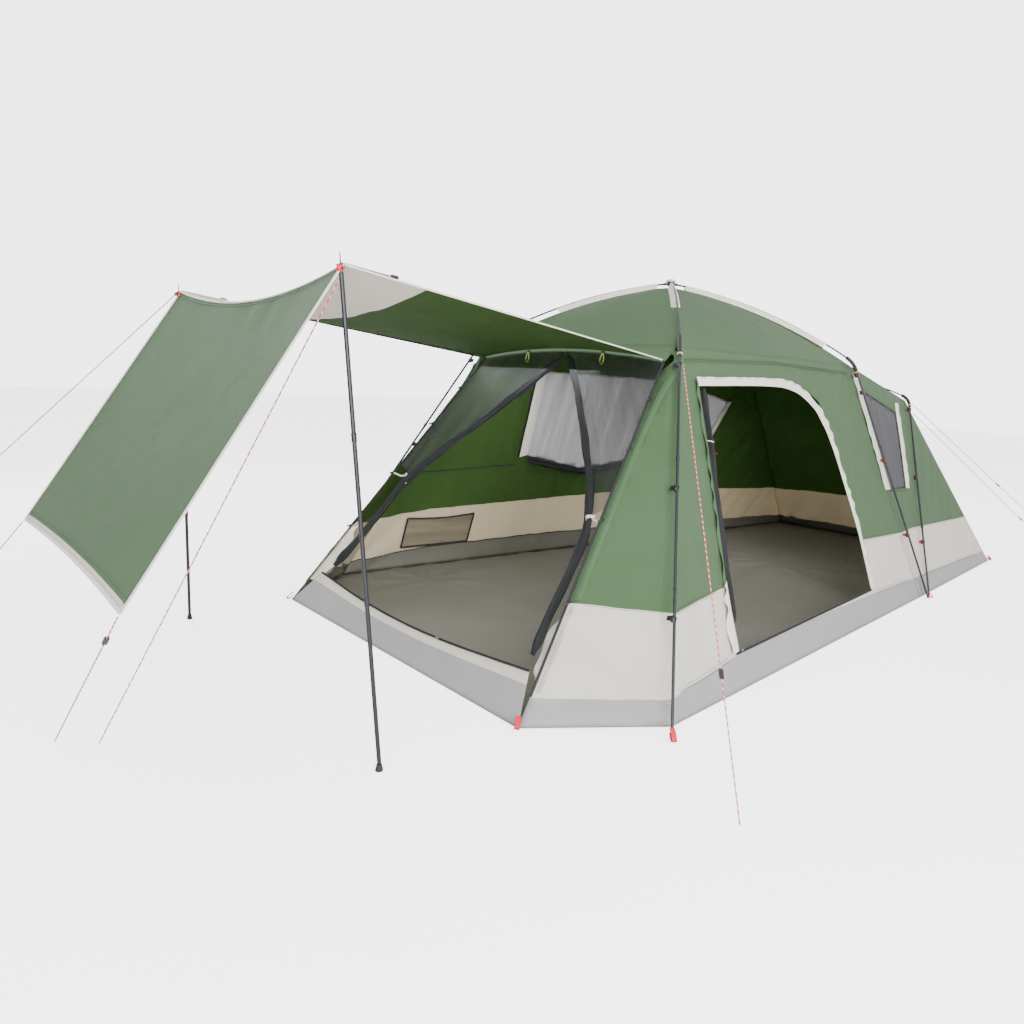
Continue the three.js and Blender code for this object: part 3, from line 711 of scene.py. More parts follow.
@dataclass
class Panel:
    """One cut panel of cloth on a smooth surface.

    Args:
        name: the piece's name.
        outline: its edge in flat coordinates, in metres.
        place: the surface's point for flat coordinates.
        outward: roughly the direction that its outside faces.
        holes: openings cut in it.
        seams: lines where its colour changes.
        slack: how loosely it hangs.
        spacing: distance of its mesh points.
    """

    name: str
    outline: Sequence[Point2]
    place: Place
    outward: Vector
    holes: Sequence[Sequence[Point2]] = ()
    seams: Sequence[Sequence[Point2]] = ()
    slack: Slack = field(default_factory=Slack)
    spacing: float = 0.035
    area: float = 0.0

    def normal(self, a: float, b: float) -> Vector:
        """The surface's outward direction at a flat place."""
        step = 0.004
        across = self.place(a + step, b) - self.place(a - step, b)
        run = across.cross(self.place(a, b + step) - self.place(a, b - step))
        run.normalize()
        return run if run.dot(self.outward) > 0 else -run

    def over(self, a: float, b: float, lift: float = 0.0) -> Vector:
        """The cloth's own point at a flat place, lifted off its outside."""
        held = self.hold(np.array([[a, b]]))[0]
        return self.place(a, b) + self.normal(a, b) * (self.slack.at(a, b) * held + lift)

    def hold(self, points: np.ndarray) -> np.ndarray:
        """How free the cloth is at each flat place: 0 on its edges, 1 well inside."""
        edges = [[*line, line[0]] for line in (self.outline, *self.holes)]
        away = np.clip(clear_of(points, edges) / self.slack.hold, 0, 1)
        return away * away * (3 - 2 * away)

    def build(self, band_of: Callable[[float, float], int], finishes: Sequence[bpy.types.Material],
              inner: int = 0, thick: float = CLOTH_THICK) -> bpy.types.Object:
        """Cuts, meshes and drapes the panel.

        Args:
            band_of: which finish a flat place takes.
            finishes: the outside finishes, then the inside ones.
            inner: how many outside finishes come first, or 0 for the same on both sides.
            thick: the cloth's thickness.

        Returns:
            The panel's object.
        """
        loops = [densified(line, self.spacing, True) for line in (self.outline, *self.holes)]
        lines = [densified(line, self.spacing, False) for line in self.seams]
        flat: list[Point2] = []
        edges: list[tuple[int, int]] = []
        for points, closed in [*((p, True) for p in loops), *((p, False) for p in lines)]:
            first = len(flat)
            flat += points
            edges += [(first + i, first + i + 1) for i in range(len(points) - 1)]
            if closed:
                edges.append((first + len(points) - 1, first))
        low, high = np.min(self.outline, axis=0), np.max(self.outline, axis=0)
        across = np.arange(low[0], high[0], self.spacing)
        rows = np.arange(low[1], high[1], self.spacing * 0.87)
        grid = np.array([(x + (i % 2) * self.spacing / 2, y) for i, y in enumerate(rows) for x in across])
        keep = within(grid, self.outline)
        for hole in self.holes:
            keep &= ~within(grid, hole)
        fixed = [[*p, p[0]] for p in loops] + lines
        keep &= clear_of(grid, fixed) > self.spacing * 0.5
        flat += [tuple(p) for p in grid[keep]]
        found, _, faces, *_ = geometry.delaunay_2d_cdt([Vector(p) for p in flat], edges, [], 0, 1e-6)
        corners = np.array([tuple(p) for p in found])
        centres = np.array([corners[list(f)].mean(0) for f in faces])
        inside = within(centres, self.outline)
        for hole in self.holes:
            inside &= ~within(centres, hole)
        free = self.hold(corners)
        shape = Shape(self.name)
        used = {int(i) for f, ok in zip(faces, inside) if ok for i in f}
        slot_of: dict[int, int] = {}
        plain: dict[int, Vector] = {}
        for i in sorted(used):
            a, b = float(corners[i][0]), float(corners[i][1])
            slot_of[i] = len(shape.points)
            plain[i] = self.place(a, b)
            shape.points.append(plain[i] + self.normal(a, b) * (self.slack.at(a, b) * free[i]))
        turned = 0.0
        for f, centre, ok in zip(faces, centres, inside):
            if not ok:
                continue
            a, b, c = (plain[i] for i in f)
            spread = (b - a).cross(c - a)
            self.area += spread.length / 2
            turned += spread.dot(self.normal(float(centre[0]), float(centre[1])))
            shape.face([slot_of[i] for i in f], [tuple(corners[i]) for i in f], band_of(*map(float, centre)))
        if turned < 0:
            shape.faces = [tuple(reversed(f)) for f in shape.faces]
            shape.uvs = [list(reversed(u)) for u in shape.uvs]
        made = shape.build(finishes)
        made.data.set_sharp_from_angle(angle=math.pi)
        thicken(made, thick, inner)
        return made


@dataclass(frozen=True)
class Cut:
    """What a cloth piece is declared as.

    Args:
        slot: the name of the material slot meant for its finish; not used.
        nodes: the CAD nodes it stands for.
        flat: its cut width and length.
        held: how it is held; not used.
        rests_on: what holds it.
    """

    slot: str
    nodes: tuple[str, ...]
    flat: Point2
    held: str = "stretched"
    rests_on: tuple[str, ...] = ()


def declare(made: bpy.types.Object, cut: Cut, area: float, body: str = "tent") -> None:
    """Hangs a cloth piece on its body if it has one, hides the CAD nodes it stands for and logs its area and
    cut size.
    """
    if body:
        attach(made, body)
    if cut.nodes:
        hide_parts(*cut.nodes)
    list(cut.rests_on)
    log.info("%s: %.2f m2 of a %.2f x %.2f m cut", made.name, area, *cut.flat)


def sheet_of(shape: Shape, finishes: Sequence[bpy.types.Material], outward: Vector | None, inner: int = 0,
             thick: float = CLOTH_THICK) -> tuple[bpy.types.Object, float]:
    """Builds a sheet from a grid shape and gives it a thickness.

    Args:
        shape: the single layer.
        finishes: its finishes, outside first.
        outward: roughly where its outside faces, or None to leave it as it is.
        inner: how many outside finishes come first.
        thick: the cloth's thickness.

    Returns:
        The object and the area of the single layer.
    """
    made = shape.build(finishes)
    total = Vector()
    for polygon in made.data.polygons:
        total += polygon.normal * polygon.area
    area = sum(polygon.area for polygon in made.data.polygons)
    if outward is not None and total.dot(outward) < 0:
        made.data.flip_normals()
    thicken(made, thick, inner)
    return made, area


HEM_SIDE: list[Point2] = [(-2.3, 0.112), (-1.64, 0.100), (-1.02, 0.160), (0.0, 0.172), (0.80, 0.165),
                          (1.70, 0.145), (3.7, 0.100)]
CREAM_SIDE: list[Point2] = [(-2.3, 0.505), (-1.834, 0.460), (-1.434, 0.427), (-1.05, 0.470), (0.72, 0.507),
                            (1.48, 0.480), (1.70, 0.489), (2.928, 0.444), (3.7, 0.430)]
SIDE_DOOR: list[Point2] = [(-1.021, 0.165), (0.760, 0.190), (0.724, 0.508), (0.640, 0.830), (0.612, 1.062),
                           (0.560, 1.260),
                           (0.470, 1.385), (0.330, 1.452), (0.165, 1.474), (-0.080, 1.480), (-0.845, 1.470)]
SIDE_WINDOW: list[Point2] = [(-0.345, 1.489), (-0.290, 0.872), (0.307, 0.748), (0.800, 0.800), (0.880, 1.480)]
REAR_WINDOW: list[Point2] = [(1.160, 1.480), (1.402, 0.786), (1.749, 0.773), (1.873, 1.323)]


def banded(y: float, z: float) -> int:
    """The colour band of a side panel: 0 green, 1 cream, 2 grey."""
    return 2 if z < level(HEM_SIDE, y) else 1 if z < level(CREAM_SIDE, y) else 0


class Shell:
    """The cloth walls, roof and floor.

    Args:
        finishes: the tent's materials.
    """

    def __init__(self, finishes: Finishes) -> None:
        self.finishes = finishes
        # The fourth and fifth finishes are the inside ones, whose darker colour is painted shade.
        self.wall = [finishes.make(f) for f in (GREEN, CREAM, GREY, GREEN_INSIDE_SHADE, CREAM_INSIDE_SHADE, FLOOR)]
        self.panels: dict[str, Panel] = {}

    def side(self, name: str, ruled: Ruled, outline: Sequence[Point2], flat: Point2, slack: Slack,
             nodes: tuple[str, ...],
             holes: Sequence[Sequence[Point2]] = (), slot: str = "green_wall_cloth") -> None:
        """One banded wall panel that is read by depth and height.

        Args:
            name: the piece's name.
            ruled: its surface.
            outline: its corners as (depth, height).
            flat: its cut size.
            slack: its folds.
            nodes: the CAD nodes it stands for.
            holes: its openings.
            slot: its material slot.
        """
        sign = math.copysign(1.0, ruled.low_a.x)
        panel = Panel(name, outline, ruled.at, Vector((sign, 0, 0.3)), holes, [HEM_SIDE, CREAM_SIDE], slack)
        made = panel.build(banded, self.wall, 3)
        declare(made, Cut(slot, nodes, flat, "stretched", ("frame rods",)), panel.area)
        self.panels[name] = panel

    def walls(self) -> None:
        """The side walls, the front wedges and the rear room's walls."""
        wall = [(-1.640, 0.004), (1.649, 0.004), (1.0, 1.640), (-0.950, 1.640)]
        wedge = [(-2.191, 0.004), (-1.640, 0.004), (-0.950, 1.640), (-0.990, 1.560)]
        room = [(1.649, 0.004), (3.615, 0.004), (2.206, 1.418), (1.0, 1.640)]
        for side, turn in (("right", 1), ("left", -1)):
            seed = 3.0 if turn > 0 else 11.0
            main = SIDE if turn > 0 else SIDE.left()
            front = WEDGE if turn > 0 else WEDGE.left()
            rear = REAR_ROOM if turn > 0 else REAR_ROOM.left()
            fans = ((-1.64, 0.0, 0.35, 0.020, 9.0), (1.649, 0.0, 0.35, 0.016, 9.0),
                    (0.95, 1.64, 0.3, 0.010, 10.0))
            hole = SIDE_DOOR if turn > 0 else SIDE_WINDOW
            self.side(f"{side}_wall_cloth", main, wall, (3.40, 1.75),
                      Slack(0.010, 0.13, 0.6, 0.1, seed, 0.08, fans),
                      (f"{side}_side_wall",), [hole])
            folds = ((-1.64, 0.0, 0.45, 0.020, 11.0), (-2.19, 0.0, 0.4, 0.018, 10.0))
            self.side(f"{side}_wedge_cloth", front, wedge, (0.75, 1.95),
                      Slack(0.008, 0.08, 0.7, 0.35, seed + 1, 0.05, folds),
                      (f"front_wedge_panel_{side}",))
            creases = ((1.649, 0.0, 0.35, 0.020, 9.0), (3.615, 0.0, 0.4, 0.020, 9.0))
            self.side(f"{side}_rear_cloth", rear, room, (2.10, 1.90),
                      Slack(0.010, 0.12, 0.6, -0.5, seed + 2, 0.06, creases),
                      (f"rear_room_wall_{side}",), [REAR_WINDOW])

    def rear(self) -> None:
        """The slanted wall at the very back."""
        def place(a: float, b: float) -> Vector:
            """The rear wall's point; a runs across, b up the cloth."""
            share = a / 2.07 + 0.5
            return mix(mix(mirrored(TAIL), TAIL, share), arch_eave(share), b / 2.0)

        seams = [[(-1.04, 0.13), (1.04, 0.13)], [(-1.04, 0.60), (1.04, 0.60)]]
        panel = Panel("rear_wall_cloth", [(-1.035, 0), (1.035, 0), (1.035, 2.0), (-1.035, 2.0)], place,
                      Vector((0, 1, 1)), (), seams,
                      Slack(0.012, 0.14, 0.6, 0.0, 21.0, 0.07,
                            ((-1.0, 0.0, 0.4, 0.02, 9.0), (1.0, 0.0, 0.4, 0.02, 9.0))))
        made = panel.build(lambda a, b: 2 if b < 0.13 else 1 if b < 0.60 else 0, self.wall, 3)
        declare(made, Cut("green_wall_cloth", ("rear_wall",), (2.10, 2.10), "stretched",
                          ("rear_arch_rod",)), panel.area)

    def roofs(self) -> None:
        """The four roof panels and the rear room's roof."""
        corners = {"front": (mirrored(EAVE_FRONT), EAVE_FRONT),
                   "right": (EAVE_FRONT, EAVE_REAR),
                   "rear": (EAVE_REAR, mirrored(EAVE_REAR)),
                   "left": (mirrored(EAVE_REAR), mirrored(EAVE_FRONT))}
        outs = [self.wall[0], self.wall[3]]
        for number, (name, (start, end)) in enumerate(corners.items()):
            slack = Slack(0.010, 0.10, 0.5, 0.0, 31.0 + number, 0.10, ((0.0, 0.0, 0.3, 0.008, 7.0),))

            def point(u: float, v: float) -> Vector:
                """The panel's point between its two ridges, v down from the hub."""
                t = 0.022 + 0.978 * v
                lift = (0.012 + slack.at((u - 0.5) * 1.6 * t, t * 1.3)) * bump(u, t)
                return mix(ridge(start, t), ridge(end, t), u) + UP * lift

            shape = Shape(f"roof_{name}_cloth")
            shape.grid(surface(40, 36, point))
            made, area = sheet_of(shape, outs, UP, 1)
            flat = (1.95, 1.05) if name in ("right", "left") else (1.62, 1.20)
            declare(made, Cut("green_roof_cloth", (f"roof_panel_{name}",), flat, "stretched",
                              ("roof rods",)), area)
        room_slack = Slack(0.016, 0.13, 0.6, 0.2, 41.0)

        def sagging(u: float, v: float) -> Vector:
            """The rear room's roof, v from the rear eave to the arch."""
            sag = (room_slack.at(u * 1.5, v * 1.3) - 0.028) * bump(u, v)
            return mix(mix(mirrored(EAVE_REAR), EAVE_REAR, u), arch_eave(u), v) + UP * sag

        shape = Shape("rear_room_roof_cloth")
        shape.grid(surface(32, 40, sagging))
        made, area = sheet_of(shape, outs, UP, 1)
        declare(made, Cut("green_roof_cloth", ("rear_room_roof",), (1.55, 1.35), "stretched",
                          ("rear_arch_rod",)), area)

    def header(self) -> None:
        """The strip over the doorway, from the front eave down to the door head."""
        def point(u: float, v: float) -> Vector:
            """The strip's point, u down and v across."""
            low = door_head(v) + Vector((0, -0.004, -0.012))
            return mix(mix(mirrored(EAVE_FRONT), EAVE_FRONT, v), low, u)

        shape = Shape("door_header_cloth")
        shape.grid(surface(40, 5, point))
        made, area = sheet_of(shape, [self.wall[0], self.wall[3]], Vector((0, -1, 0.2)), 1)
        declare(made, Cut("green_wall_cloth", (), (1.60, 0.18), "stretched", ("roof_panel_front",)), area)

    def floor(self) -> None:
        """The woven floor with its soft creases."""
        right = (NOSE, CORNER_FRONT, CORNER_REAR, TAIL)
        outline = [(-NOSE.x, NOSE.y), *((p.x, p.y) for p in right), *((-p.x, p.y) for p in reversed(right[1:]))]
        fans = ((0.0, 1.65, 0.9, 0.010, 9.0), (1.0, -1.2, 0.5, 0.010, 8.0), (-1.0, -1.2, 0.5, 0.010, 8.0))
        slack = Slack(0.006, 0.35, 0.5, 0.4, 51.0, 0.12, fans)
        shape = Panel("floor_cloth", outline, lambda a, b: Vector((a, b, 0.0075)), UP, (), (), slack, 0.05)
        made = shape.build(lambda a, b: 0, [self.finishes.make(FLOOR)], 0, THIN_CLOTH)
        for vertex in made.data.vertices:
            vertex.co.z = 0.0052 + max(0.0, vertex.co.z - 0.0045)
        declare(made, Cut("grey_floor_sheet", ("groundsheet",), (2.90, 5.81), "laid", ("ground",)),
                shape.area)

    def sill(self) -> None:
        """The low front strip of the floor tub across the doorway."""
        tops = [mirrored(SILL_CORNER), mirrored(SILL_MIDDLE), SILL_MIDDLE, SILL_CORNER]
        top_line = resample(rounded(tops, 3), 0.03)
        total = length_of(top_line)
        rows, run = [], 0.0
        slack = Slack(0.012, 0.11, 0.4, 0.0, 61.0, 0.04)
        out = Vector((0, -1, 0.4)).normalized()
        steps, bound = 8, 6  # the faces from bottom to top, and the first of them that is cream
        for i, top in enumerate(top_line):
            run += (top - top_line[i - 1]).length if i else 0.0
            low = mix(mirrored(NOSE), NOSE, run / total)
            rise = [(k / steps, slack.at(run, k * 0.02) * bump(run / total, k / steps))
                    for k in range(steps + 1)]
            rows.append([mix(low, top, share) + out * fold for share, fold in rise])
        shape = Shape("front_sill_cloth")
        shape.grid(rows)
        shape.bands = [1 if index % steps >= bound else 0 for index in range(len(shape.faces))]
        outs = [self.wall[2], self.wall[1], self.finishes.make(FLOOR), self.wall[4]]
        made, area = sheet_of(shape, outs, Vector((0, -1, 0.4)), 2)
        declare(made, Cut("grey_floor_sheet", ("front_sill",), (2.20, 0.26), "stretched", ("ground",)), area)

    def canopy(self) -> None:
        """The raised door that makes the porch roof, green with a cream band at its front."""
        slack = Slack(0.016, 0.16, 0.7, 0.5, 71.0)
        across, green, cream = 56, 40, 14  # faces across, and rows of faces of each colour

        def point(u: float, t: float) -> Vector:
            """The canopy's point; its rows follow the seam of the two colours."""
            seam = 0.79 + 0.02 * (2 * u - 1) ** 2
            row = round(t * (green + cream))
            v = seam * row / green if row <= green else seam + (1 - seam) * (row - green) / cream
            sag = (slack.at(u * 1.6, v * 1.9) - 0.030) * bump(u, v)
            return mix(door_head(u) + CANOPY_START, porch_edge(u), v) + UP * sag

        shape = Shape("canopy_cloth")
        shape.grid(surface(green + cream, across, point))
        shape.bands = [1 if index // across >= green else 0 for index in range(len(shape.faces))]
        outs = [self.wall[0], self.wall[1], self.wall[3], self.finishes.make(CREAM)]
        made, area = sheet_of(shape, outs, UP, 2)
        poles = ("porch_pole_right", "porch_pole_left")
        declare(made, Cut("green_canopy_cloth", ("canopy",), (1.75, 1.95), "stretched", poles), area)

    def flap_point(self, u: float, v: float) -> Vector:
        """The hanging flap's surface, across by u and down by v."""
        low = bezier(mirrored(FLAP_TIP), FLAP_CROWN, FLAP_TIP, u)
        point = mix(porch_edge(u, -2.885), low, v)
        fold = Slack(0.014, 0.22, 0.9, 0.45, 81.0).at(u * 1.6, v * 1.3)
        ripple = 0.008 * math.sin(u * 31 + 2 * math.sin(u * 9)) * smooth(0.35, 0.0, v) * math.sin(math.pi * u)
        return point + Vector((0, 0.84, -0.55)) * ((0.045 + fold) * bump(u, v) + ripple
                                                   * smooth(0.0, 0.05, v))

    def flap(self) -> None:
        """The panel that slopes down from the canopy's front edge, with its cream edges."""
        across, down = 56, 50
        facing = Vector((0, -0.8, 0.5))
        shape = Shape("flap_cloth")
        shape.grid(surface(down, across, self.flap_point))
        shape.bands = [1 if index // across >= down - 1 else 0 for index in range(len(shape.faces))]
        outs = [self.wall[0], self.finishes.make(CREAM), self.wall[3], self.wall[4]]
        made, area = sheet_of(shape, outs, facing, 2)
        declare(made, Cut("green_canopy_cloth", ("porch_flap",), (1.75, 1.40), "hung", ("canopy_cloth",)),
                area, "")
        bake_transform(made)
        edging = Shape("flap_edge_binding")
        for u in (0.0, 1.0):
            edging.strap([self.flap_point(u, i / down) for i in range(down + 1)], 0.016, TAPE_THICK, facing)
        edging.strap([self.flap_point(j / across, 1.0) for j in range(across + 1)], 0.014, TAPE_THICK, facing)
        tape = edging.build([self.finishes.make(TAPE_CREAM)])
        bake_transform(tape)


# The line of a drawn-aside mesh door, from the door head down: x, y, z and its share of the tie's spread.
DRAWN_DOOR = ((0.026, -0.968, 1.574, 0.0), (0.250, -1.130, 1.345, 0.33), (0.520, -1.340, 1.060, 0.67),
              (*TIE_BACK, 1.0),
              (0.790, -1.690, 0.618, 1.0), (0.858, -1.915, 0.330, 0.7), (0.900, -1.990, 0.236, 0.4))


class Netting:
    """The mesh doors, the mesh windows, and what is rolled beside them.

    Args:
        finishes: the tent's materials.
    """

    def __init__(self, finishes: Finishes) -> None:
        self.finishes = finishes

    def window(self, name: str, ruled: Ruled, hole: Sequence[Point2], net: Finish, flat: Point2, node: str,
               seed: float) -> None:
        """A mesh window, let a little into its wall.

        Args:
            name: the piece's name.
            ruled: the wall's surface.
            hole: the window's corners.
            net: the mesh's finish.
            flat: its cut size.
            node: the CAD node it stands for.
            seed: which folds it draws.
        """
        middle = np.mean(hole, axis=0)
        overlap = 1.03
        outline = [tuple(float(v) for v in middle + (np.array(corner) - middle) * overlap) for corner in hole]
        outward = Vector((math.copysign(1.0, ruled.low_a.x), 0, 0.3))
        slack = Slack(0.006, 0.05, 0.8, 0.1, seed, 0.08)
        panel = Panel(name, outline, lambda a, b: ruled.at(a, b, 0.006), outward, (), (), slack, 0.04)
        made = panel.build(lambda a, b: 0, [self.finishes.make(net)], 0, THIN_CLOTH)
        declare(made, Cut("insect_mesh", (node,), flat, "stretched", ("wall cloth",)), panel.area)

    def windows(self) -> None:
        """The left wall's big window and the two rear ones."""
        # The left window and the left rear window take the mesh with painted light.
        self.window("left_window_net", SIDE.left(), SIDE_WINDOW, NET_PAINTED_LIGHT, (1.25, 0.80),
                    "left_window_mesh", 91.0)
        # The right rear window takes the mesh with painted shade.
        rear = (("right", REAR_ROOM, NET_PAINTED_SHADE, 93.0), ("left", REAR_ROOM.left(), NET_PAINTED_LIGHT, 95.0))
        for side, ruled, net, seed in rear:
            self.window(f"rear_window_net_{side}", ruled, REAR_WINDOW, net, (0.75, 0.78),
                        f"rear_window_mesh_{side}", seed)

    def roll(self, shape: Shape, path: Sequence[Vector], radius: float, seed: float, band: int = 0) -> None:
        """A loosely rolled cloth along a line, with its lengthwise folds.

        Args:
            shape: the mesh it joins.
            path: the line.
            radius: its usual radius.
            seed: which folds it draws.
            band: its finish.
        """
        line = resample(path, 0.02)
        rows: list[list[Vector]] = []
        over, last, around = UP, len(line) - 1, 18
        for i, point in enumerate(line):
            ahead = (line[min(i + 1, last)] - line[max(i - 1, 0)]).normalized()
            if abs(over.dot(ahead)) >= 0.98:
                over = Vector((0, 1, 0))
            side = over.cross(ahead).normalized()
            over = ahead.cross(side).normalized()
            ends = 1 - 0.5 * smooth(0.94, 1.0, i / last) - 0.4 * smooth(0.05, 0.0, i / last)
            row = []
            for k in range(around):
                turn = math.tau * k / around
                fold = 1 + 0.55 * noise.noise(Vector((math.cos(turn) * 1.6, math.sin(turn) * 1.6, i * 0.10
                                                      + seed)))
                fold += 0.16 * math.sin(turn * 5 + i * 0.12 + seed)
                row.append(point + (side * math.cos(turn) + over * math.sin(turn)) * (radius * fold * ends))
            rows.append(row)
        shape.grid(rows, band, wrap=True, caps=True)

    def curtains(self) -> None:
        """The two halves of the mesh door, drawn to the sides, rolled and tied."""
        for side, turn in (("right", 1.0), ("left", -1.0)):
            out = TIE_SPREAD if turn > 0 else 0.0
            way = [Vector((x + out * share, y, z)) for x, y, z, share in DRAWN_DOOR]
            way = [Vector((p.x * turn, p.y, p.z)) for p in rounded(way)]
            shape = Shape(f"mesh_door_roll_{side}")
            self.roll(shape, way, 0.019, 3.0 if turn > 0 else 8.0)
            made = shape.build([self.finishes.make(BLACK_ROLL)])
            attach(made, "tent")
            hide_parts(f"mesh_curtain_{side}")
            line = resample(way, 0.03)
            upper = [p for p in line if p.z > 0.80]
            rows = []
            for i, point in enumerate(upper):
                t = i / (len(upper) - 1)
                if t < 0.32:
                    share = 0.5 + turn * 0.5 * (t / 0.32) * 0.985
                    border = door_head(share) + Vector((0, -0.004, -0.006))
                else:
                    border = opening_edge(1.55 - (t - 0.32) / 0.68 * 0.70)
                    border = Vector((border.x * turn, border.y, border.z))
                sways = [(k / 12, 0.012 * math.sin(k * 1.1 + i * 0.35) * bump(k / 12, t)) for k in range(13)]
                rows.append([mix(point, border, share) + Vector((0, sway, 0)) for share, sway in sways])
            net = Shape(f"mesh_door_net_{side}")
            net.grid(rows)
            made, area = sheet_of(net, [self.finishes.make(NET)], Vector((0, -1, 0)), 0, NET_THICK)
            declare(made, Cut("insect_mesh", (), (1.15, 0.75), "gathered", (f"mesh_door_roll_{side}",)), area)

    def rolls(self) -> None:
        """The side door's rolled mesh and the window covers' rolls."""
        door = Shape("side_door_roll_cloth")
        hang = [SIDE.at(-0.770, 1.425, 0.032), SIDE.at(-0.87, 0.85, 0.034), SIDE.at(-0.965, 0.260, 0.032)]
        self.roll(door, hang, 0.022, 5.0)
        window = Shape("left_window_roll_cloth")
        line = [(-0.300, 0.835), (0.0, 0.772), (0.300, 0.715), (0.560, 0.738), (0.800, 0.768)]
        self.roll(window, [mirrored(SIDE.at(y, z, 0.034)) for y, z in line], 0.022, 6.0)
        for shape, node in ((door, "side_door_roll"), (window, "left_window_roll")):
            made = shape.build([self.finishes.make(BLACK_ROLL)])
            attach(made, "tent")
            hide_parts(node)

    def pocket(self) -> None:
        """The mesh organiser on the inside of the left wall, slack along its top."""
        def point(u: float, v: float) -> Vector:
            """The pocket's point, u up from its seam and v along it."""
            z = 0.178 + 0.232 * u - 0.012 * math.sin(math.pi * v) * smooth(0.5, 1.0, u)
            bag = 0.016 + 0.016 * bump(v, min(u * 0.62, 1)) + 0.003 * math.sin(v * 36.4) * u
            return mirrored(SIDE.at(-1.230 + 0.575 * v, z, bag))

        rows = surface(28, 14, point)
        shape = Shape("organiser_pocket_net")
        shape.grid(rows)
        made, area = sheet_of(shape, [self.finishes.make(NET)], Vector((1, 0, 0)), 0, THIN_CLOTH)
        declare(made, Cut("insect_mesh", ("organiser_pocket",), (0.60, 0.26), "hung",
                          ("left_wall_cloth",)), area)
        edge = Shape("organiser_pocket_binding")
        for line in ([r[-1] for r in rows], [r[0] for r in rows], rows[0], rows[-1]):
            edge.strap(line, 0.014, TAPE_THICK, Vector((1, 0, 0.2)))
        tape = edge.build([self.finishes.make(TAPE_BLACK)])
        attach(tape, "tent")


@dataclass(frozen=True)
class GuyRope:
    """One guy rope.

    Args:
        key: its name without the prefix.
        top: where it leaves the tent.
        foot: its end on the ground.
        body: what it rides on.
        runner: the runner on it, if it has one; not used.
    """

    key: str
    top: tuple[float, float, float]
    foot: tuple[float, float, float]
    body: str = "tent"
    runner: str | None = None


GUY_ROPES = (
    GuyRope("porch_right", (0.836, -2.880, 1.758), (0.254, -3.565, 0.003)),
    GuyRope("porch_left", (-0.853, -2.904, 1.764), (-1.956, -4.396, 0.003)),
    GuyRope("flap_right", (0.832, -3.616, 0.664), (0.145, -3.691, 0.003), "porch_flap", "rope_runner_flap"),
    GuyRope("flap_left", (-0.842, -3.616, 0.664), (-1.511, -3.951, 0.003), "porch_flap"),
    GuyRope("front_leg", (0.872, -1.010, 1.540), (2.030, -2.042, 0.003), "tent", "rope_runner_front_leg"),
    GuyRope("rear_upper", (0.718, 2.246, 1.392), (1.690, 4.094, 0.003), "tent", "rope_runner_rear_upper"),
    GuyRope("rear_lower", (0.738, 2.232, 1.322), (1.618, 3.917, 0.003), "tent", "rope_runner_rear_lower"),
)
ROPE_RADIUS = 0.0025


class GuyRopes:
    """The ropes that hold the porch, the flap and the frame.

    Args:
        finishes: the tent's materials.
    """

    def __init__(self, finishes: Finishes) -> None:
        self.finishes = finishes

    def build(self) -> None:
        for rope in GUY_ROPES:
            top, foot = Vector(rope.top), Vector(rope.foot)
            path = resample([top, foot], 0.05)
            shape = Shape(f"rope_{rope.key}")
            shape.tube(path, ROPE_RADIUS, 8)
            finish = ROPE_GREY if rope.key.startswith("rear") or rope.key.endswith("left") else ROPE
            made = shape.build([self.finishes.make(finish)])
            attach(made, rope.body)
            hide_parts(f"guy_rope_{rope.key}")
            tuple(rope.top)
            length_of(path)
            [tuple(p) for p in path]


# The finish of each frame part, by how its name starts; the first that fits is taken.
FRAME_FINISHES = {
    "roof_hub": PLASTIC,
    "shoulder_elbow": PLASTIC,
    "rear_arch_elbow": PLASTIC,
    "roof_rod": ROD_BLACK,
    "rear_arch_rod": ROD_BLACK,
    "rear_arch_leg": STEEL_DARK,
    "front_right_leg": STEEL_DARK,
    "front_left_leg": STEEL_DARK,
    "rear_right_leg": STEEL_DARK,
    "rear_left_leg": STEEL_DARK,
    "porch_pole_foot": RUBBER,
    "porch_pole": POLE_BLACK,
    "rope_runner": PLASTIC,
    "front_sill_zip": ZIP_METAL,
    "side_door_zip": ZIP_METAL,
}

# The side door's cream rim: its outer and inner edge, and the stitches near the outer one.
RIM_OUT: list[Point2] = [(-0.858, 1.484), (-0.079, 1.510), (0.189, 1.500), (0.392, 1.408), (0.540, 1.286),
                         (0.612, 1.061), (0.655, 0.900), (0.724, 0.709), (0.775, 0.508), (0.805, 0.193)]
RIM_IN: list[Point2] = [(-0.860, 1.440), (-0.073, 1.466), (0.165, 1.448), (0.350, 1.372), (0.490, 1.250),
                        (0.572, 1.050), (0.618, 0.890), (0.680, 0.690), (0.728, 0.480), (0.758, 0.200)]
RIM_STITCHES: list[Point2] = [(-0.858, 1.478), (-0.079, 1.504), (0.186, 1.494), (0.388, 1.403),
                              (0.534, 1.282),
                              (0.607, 1.058), (0.650, 0.898), (0.718, 0.706), (0.769, 0.506), (0.799, 0.195)]


def shares_of(line: Sequence[Point2]) -> np.ndarray:
    """How far along a flat line each of its points is, as a share of its length."""
    runs = [math.hypot(p[0] - q[0], p[1] - q[1]) for p, q in zip(line, line[1:])]
    return np.concatenate([[0.0], np.cumsum(runs)]) / sum(runs)


def raised(line: Sequence[Point2], by: float) -> list[Point2]:
    """The same flat line, higher up the cloth."""
    return [(y, z + by) for y, z in line]


